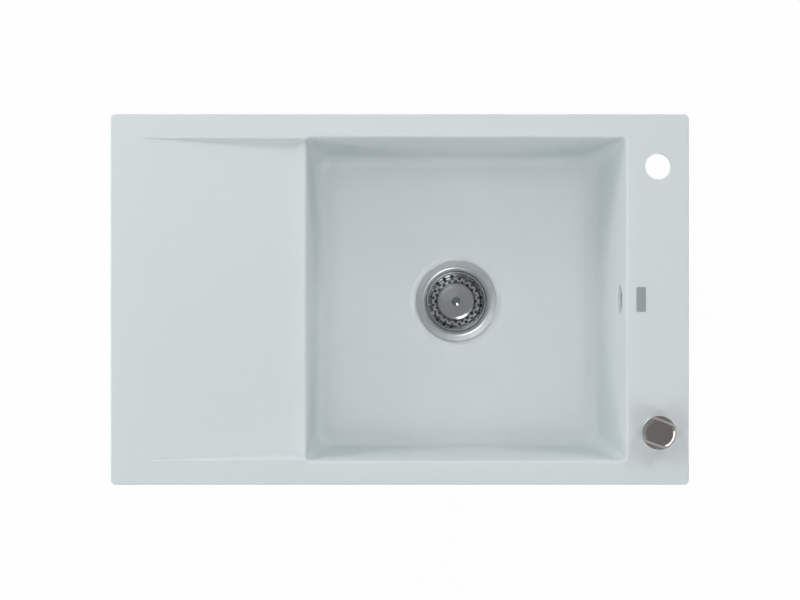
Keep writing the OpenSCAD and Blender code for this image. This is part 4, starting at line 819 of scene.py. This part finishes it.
def hose_line():
    """The hose's middle: straight down beside the bowl, round one bend, and level to the waste body."""
    lean = math.radians(WALL_LEAN)
    down = Vector((-math.sin(lean), 0, -math.cos(lean)))
    out = Vector((math.cos(lean), 0, -math.sin(lean)))
    start = Vector((OVERFLOW_X, 0, OVERFLOW_Z)) + HOSE_STUB_START * down + HOSE_STUB_X * out
    corner = start + (start.z - HOSE_END_Z) / math.cos(lean) * down
    turn = math.pi / 2 - lean
    reach = HOSE_BEND_R * math.tan(turn / 2)
    middle = Vector((corner.x - reach, 0, HOSE_END_Z + HOSE_BEND_R))
    steps = 48
    bend = [middle + HOSE_BEND_R * Vector((math.cos(lean + turn * k / steps), 0, -math.sin(lean + turn * k / steps)))
            for k in range(steps + 1)]
    return [start, *bend, Vector((HOSE_END_X, 0, HOSE_END_Z))]


def make_hose():
    """The blown overflow hose, with ribs between its cuffs."""
    hose = shaped(line_piece("ribbed_hose", hose_line()), RIBBED_TUBE, Radius=HOSE_R * MM, Groove=HOSE_RIB_H * MM,
                  Pitch=HOSE_RIB_PITCH * MM, Cuff=HOSE_CUFF * MM, Step=HOSE_RIB_PITCH * MM / 10, Sides=48)
    close_up(hose.data)
    wall = hose.modifiers.new("wall", "SOLIDIFY")
    wall.thickness, wall.offset = HOSE_WALL * MM, -1
    fit(settle(hose), "overflow_hose", angle=60)


def make_sheath():
    """The control cable's sheath, on one smooth curve from the knob to the waste's bracket."""
    a, b, c, d = (Vector(p) for p in SHEATH_ENDS)
    steps = 64
    curve = [(1 - t) ** 3 * a + 3 * (1 - t) ** 2 * t * b + 3 * (1 - t) * t * t * c + t ** 3 * d
             for t in (k / steps for k in range(steps + 1))]
    sheath = shaped(line_piece("drawn_sheath", curve), RIBBED_TUBE, Radius=SHEATH_R * MM, Groove=0.12 * MM,
                    Pitch=2.4 * MM, Cuff=6 * MM, Step=0.6 * MM, Sides=20)
    close_up(sheath.data, caps=True)
    fit(sheath, "cable_sheath", angle=60)


def make_clips():
    """The eight fixing clips' threaded studs, brass inserts and wing nuts."""
    spots = {"Spread": CLIP_SPREAD * MM, "Side": STUD_Y * MM, "End": STUD_X * MM}
    high, pitch = INSERT_LOW + INSERT_L - 0.5, 0.8
    levels = round(5 * (high + STUD_L - 1) / pitch)
    outline = [(0, -STUD_L), (STUD_R - 0.5, -STUD_L)] + [
        (STUD_R, -STUD_L + 0.6 + (high + STUD_L - 0.6) * k / levels) for k in range(levels + 1)] + [(0, high)]
    stud = shaped(turned("threaded_studs", outline, 16), WOUND_THREAD, Radius=STUD_R * MM, Depth=0.4 * MM,
                  Pitch=pitch * MM, Low=-STUD_L * MM, High=(high + 1) * MM)
    fit(shaped(stud, COPIES_AT_CLIPS, **spots), "clip_studs", angle=60, weighted=False)
    sleeve = softened([(STUD_R + 0.05, INSERT_LOW, 0.2), (INSERT_R, INSERT_LOW, 0.4), (INSERT_R, high, 0.4),
                       (STUD_R + 0.05, high, 0.2)], 3)
    fit(shaped(turned("brass_inserts", sleeve, 32), COPIES_AT_CLIPS, **spots), "stud_inserts")
    low = WING_TOP - WING_NUT_H
    hub = softened([(STUD_R + 0.05, low, 0.2), (WING_NUT_R, low, 0.6), (WING_NUT_R - 0.4, WING_TOP, 0.5),
                    (STUD_R + 0.05, WING_TOP, 0.2)], 4)
    nut = turned("wing_nuts_shown", hub, 40)
    for side in (-1, 1):
        wing = softened([(side * (STUD_R + 0.6), low + 1.2, 0), (side * (WING_NUT_R + 1), low + 0.6, 2),
                         (side * WING_L, WING_TOP - 1.5 * WING_H, 1.5), (side * WING_L, WING_TOP - WING_H / 2, 1.5),
                         (side * (STUD_R + 0.6), WING_TOP - WING_H / 2, 0)], 5)
        plate = [[(x, y, z) for x, z in wing] for y in (-WING_T / 2, WING_T / 2)]
        nut = combined(nut, lofted("wing", plate), operation="UNION")
    fit(shaped(nut, COPIES_AT_CLIPS, **spots), "wing_nuts", edge=0.35, angle=40)


def make_cup_screws():
    """Three pan-head screws with crossed slots, round the cup's floor."""
    low = CUP_FLOOR_Z - CUP_SCREW_L
    outline = softened([(0, low, 0), (SCREW_R, low, 0.4), (SCREW_R, CUP_FLOOR_Z, 0), (HEAD_R, CUP_FLOOR_Z, 0.2),
                        (HEAD_R, CUP_FLOOR_Z + HEAD_H, 1.2), (0, CUP_FLOOR_Z + HEAD_H, 0)], 6)
    screw = turned("cup_screws_shown", outline, 48)
    for w, d in ((4.4, 0.9), (0.9, 4.4)):
        slot = lofted("slot", [at_height(plate_loop(w, d, 0.3, per_corner=2, per_side=1), z)
                               for z in (CUP_FLOOR_Z + 1, CUP_FLOOR_Z + 4)])
        screw = combined(screw, slot)
    screw = shaped(screw, COPIES_ROUND, Count=3, Ring_Radius=SCREW_CIRCLE_R * MM, First_Angle=0.0)
    fit(moved(screw, AT_DRAIN), "cup_screws", edge=0.1, angle=50)


def make_threaded():
    """The waste body, threaded round its outlet for the siphon's nut, and the sleeve, threaded for its lock nut."""
    for node, name, thread, place, edge in (
            ("waste_body", "moulded_waste", (OUTLET_R, BOTTOM_Z - 0.5, OUTLET_Z - 2, 1.1, OUTLET_PITCH), AT_DRAIN,
             0.5),
            ("actuator_sleeve", "threaded_sleeve", (SLEEVE_R, -56, 0, 0.9, 2), AT_KNOB, 0.2)):
        piece = combined(plain_copy(node), moved(thread_cutter(*thread), place))
        piece.name = name
        fit(piece, node, edge=edge, angle=42)


# Materials

def finish(name, light, dark, grain, relief, roughness, metallic=0.0, stretch=(1, 1, 1), turned_at=None):
    """A finish with a grain of a size in millimetres that changes its colour, roughness and relief a little. A
    turned one is drawn out into rings round an upright axis."""
    made = bpy.data.materials.new(name)
    tree = bare_tree(made)
    place = add(tree, "ShaderNodeTexCoord").outputs["Object"]
    if turned_at:
        centre = (-turned_at[0] * MM, -turned_at[1] * MM, 0)
        centred = add(tree, "ShaderNodeMapping", {"Vector": place, "Location": centre})
        split = add(tree, "ShaderNodeSeparateXYZ", {0: centred}).outputs
        flat = add(tree, "ShaderNodeCombineXYZ", {"X": split["X"], "Y": split["Y"]})
        radius = add(tree, "ShaderNodeVectorMath", {0: flat}, operation="LENGTH").outputs["Value"]
        angle = add(tree, "ShaderNodeMath", {0: split["Y"], 1: split["X"]}, operation="ARCTAN2")
        sweep = add(tree, "ShaderNodeMath", {0: angle, 1: RING_SWEEP}, operation="MULTIPLY")
        place = add(tree, "ShaderNodeCombineXYZ", {"X": radius, "Y": sweep, "Z": split["Z"]})
    else:
        place = add(tree, "ShaderNodeMapping", {"Vector": place, "Scale": stretch})
    grit = add(tree, "ShaderNodeTexNoise", {"Vector": place, "Scale": 1 / (grain * MM), "Detail": 3.0,
                                            "Roughness": 0.6}).outputs["Fac"]
    tint = add(tree, "ShaderNodeMix", {"Factor": grit, "A": colour(dark), "B": colour(light)}, data_type="RGBA")
    gloss = add(tree, "ShaderNodeMapRange", {"Value": grit, "From Min": 0.3, "From Max": 0.7,
                                             "To Min": roughness[0], "To Max": roughness[1]})
    bump = add(tree, "ShaderNodeBump", {"Height": grit, "Strength": relief, "Distance": 0.1 * grain * MM})
    skin = add(tree, "ShaderNodeBsdfPrincipled", {"Base Color": tint.outputs["Result"], "Metallic": metallic,
                                                  "Roughness": gloss, "Normal": bump})
    add(tree, "ShaderNodeOutputMaterial", {"Surface": skin})
    return made


# How much of a full ring a turned finish's grain is wide, against its depth in metres
RING_SWEEP = 0.0012

FINISHES = {
    # Cast mineral composite with a fine satin skin: pale grey, soft sheen, specks that only show close up
    "composite": finish("cast_composite", "#dae1e3", "#d4dbdd", 0.9, 0.15, (0.36, 0.44)),
    # Pressed stainless steel, turned on a lathe: rings of fine scratches that draw the highlights round
    "satin_steel": finish("turned_steel", "#d2d6d7", "#c0c5c7", 0.5, 0.25, (0.26, 0.38), 1.0, turned_at=(DRAIN_X, 0)),
    # The same steel polished after pressing: crisp mirrored lamps, with only a trace of the rings
    "polished_steel": finish("polished_steel", "#bcc0c2", "#b0b4b6", 0.8, 0.06,
                             (0.14, 0.2), 1.0, turned_at=(DRAIN_X, 0)),
    # Chrome over smoked nickel: a dark, warm mirror with hard bright strips
    "smoked_chrome": finish("smoked_chrome", "#a5a19e", "#9e9a97", 0.6, 0.02, (0.07, 0.1), 1.0),
    # Aluminium brushed along the plate: a cool grey in fine lines, drawn three times coarser than real brushing
    "plate_metal": finish("brushed_aluminium", "#bdcaca", "#b0bdbd", 0.35, 0.15,
                          (0.34, 0.44), 1.0, stretch=(1, 0.03, 1)),
    # Zinc plating: a dull bluish grey whose crystals cloud what it mirrors
    "zinc_steel": finish("zinc_plated_steel", "#c0c4c4", "#a8adae", 1.5, 0.05, (0.3, 0.42), 1.0),
    # Turned brass: warm yellow with a soft shine
    "brass": finish("turned_brass", "#c2a25c", "#ac8a45", 0.6, 0.1, (0.28, 0.38), 1.0),
    # Moulded polypropylene: off-white and waxy, with an even dull sheen
    "white_plastic": finish("moulded_white_plastic", "#e7e9e7", "#e0e2e0", 0.7, 0.12, (0.38, 0.48)),
    # Glass-filled nylon: near black, with a fine moulded grain that dulls the light
    "grey_plastic": finish("moulded_dark_plastic", "#46494b", "#3d4042", 0.7, 0.15, (0.42, 0.52)),
    # Machined acetal: creamy white with a slight gloss where parts slide
    "acetal": finish("machined_acetal", "#dfdbcd", "#d6d1c1", 0.6, 0.1, (0.35, 0.45)),
    # Moulded rubber: dull black with a trace of bloom
    "rubber": finish("moulded_rubber", "#35383a", "#2b2d2e", 0.6, 0.3, (0.6, 0.75)),
    # Closed-cell foam: dark grey and quite matt, with small cells at its skin
    "foam_strip": finish("cell_foam", "#45484a", "#333536", 0.8, 0.8, (0.85, 0.95)),
    # Blown polythene: milky, with a soft sheen along every rib
    "hose_plastic": finish("blown_polythene", "#d6d9d8", "#cdd0cf", 1.2, 0.12, (0.4, 0.5)),
    # A cable's drawn plastic sheath: black and smooth along its length
    "sheath_plastic": finish("drawn_sheath", "#2a2b2c", "#212223", 0.6, 0.2, (0.42, 0.55)),
}
# Smooth steel for the grip, its colour a little darker as painted shade for the dark reflection and shadow on it, so
# that the grip stands out from its disc
GRIP_STEEL_PAINTED_DARK = finish("grip_steel_painted_shade", "#8d9395", "#82888a", 0.5, 0.05, (0.12, 0.18), 1.0)
# Plain bright chrome on the knob's ring and the rosette: it takes on the pale tone of the sink around it
BRIGHT_CHROME = finish("bright_chrome", "#eceeee", "#e4e7e7", 0.6, 0.02, (0.12, 0.16), 1.0)

for make in (make_sink_body, make_plate, make_cup, make_basket, make_knob, make_rosette, make_hose, make_sheath,
             make_clips, make_cup_screws, make_threaded):
    make()
CLAWS = ("front_left", "front_middle", "front_right", "back_left", "back_middle", "back_right", "left", "right")
# The other nodes, by how far their edges are rounded in millimetres
EDGES = {
    0: ("shaft_seal",), 0.15: ("waste_wire", "knob_wire"), 0.2: ("cup_seal", "retaining_ring", "deck_seal"),
    0.3: ("pin_guide", "basket_seal", "crank_screw", "cam_pin", "cam_barrel", "overflow_gasket", "hose_clips"),
    0.4: ("floor_gasket", "rocker_shaft", "gland_nut", "bracket_screws", "waste_ferrule", "knob_ferrule", "cam_slider",
          "deck_washer"),
    0.5: ("basket_hub", "lift_pin", "cable_bracket", "overflow_elbow"), 0.7: ("end_cap",), 0.8: ("lock_nut",),
    0.6: ("sealing_strip", "lift_finger", "crank_arm", *("claw_" + side for side in CLAWS)),
}
for edge, nodes in EDGES.items():
    for node in nodes:
        fit(plain_copy(node), node, edge=edge, angle=35)
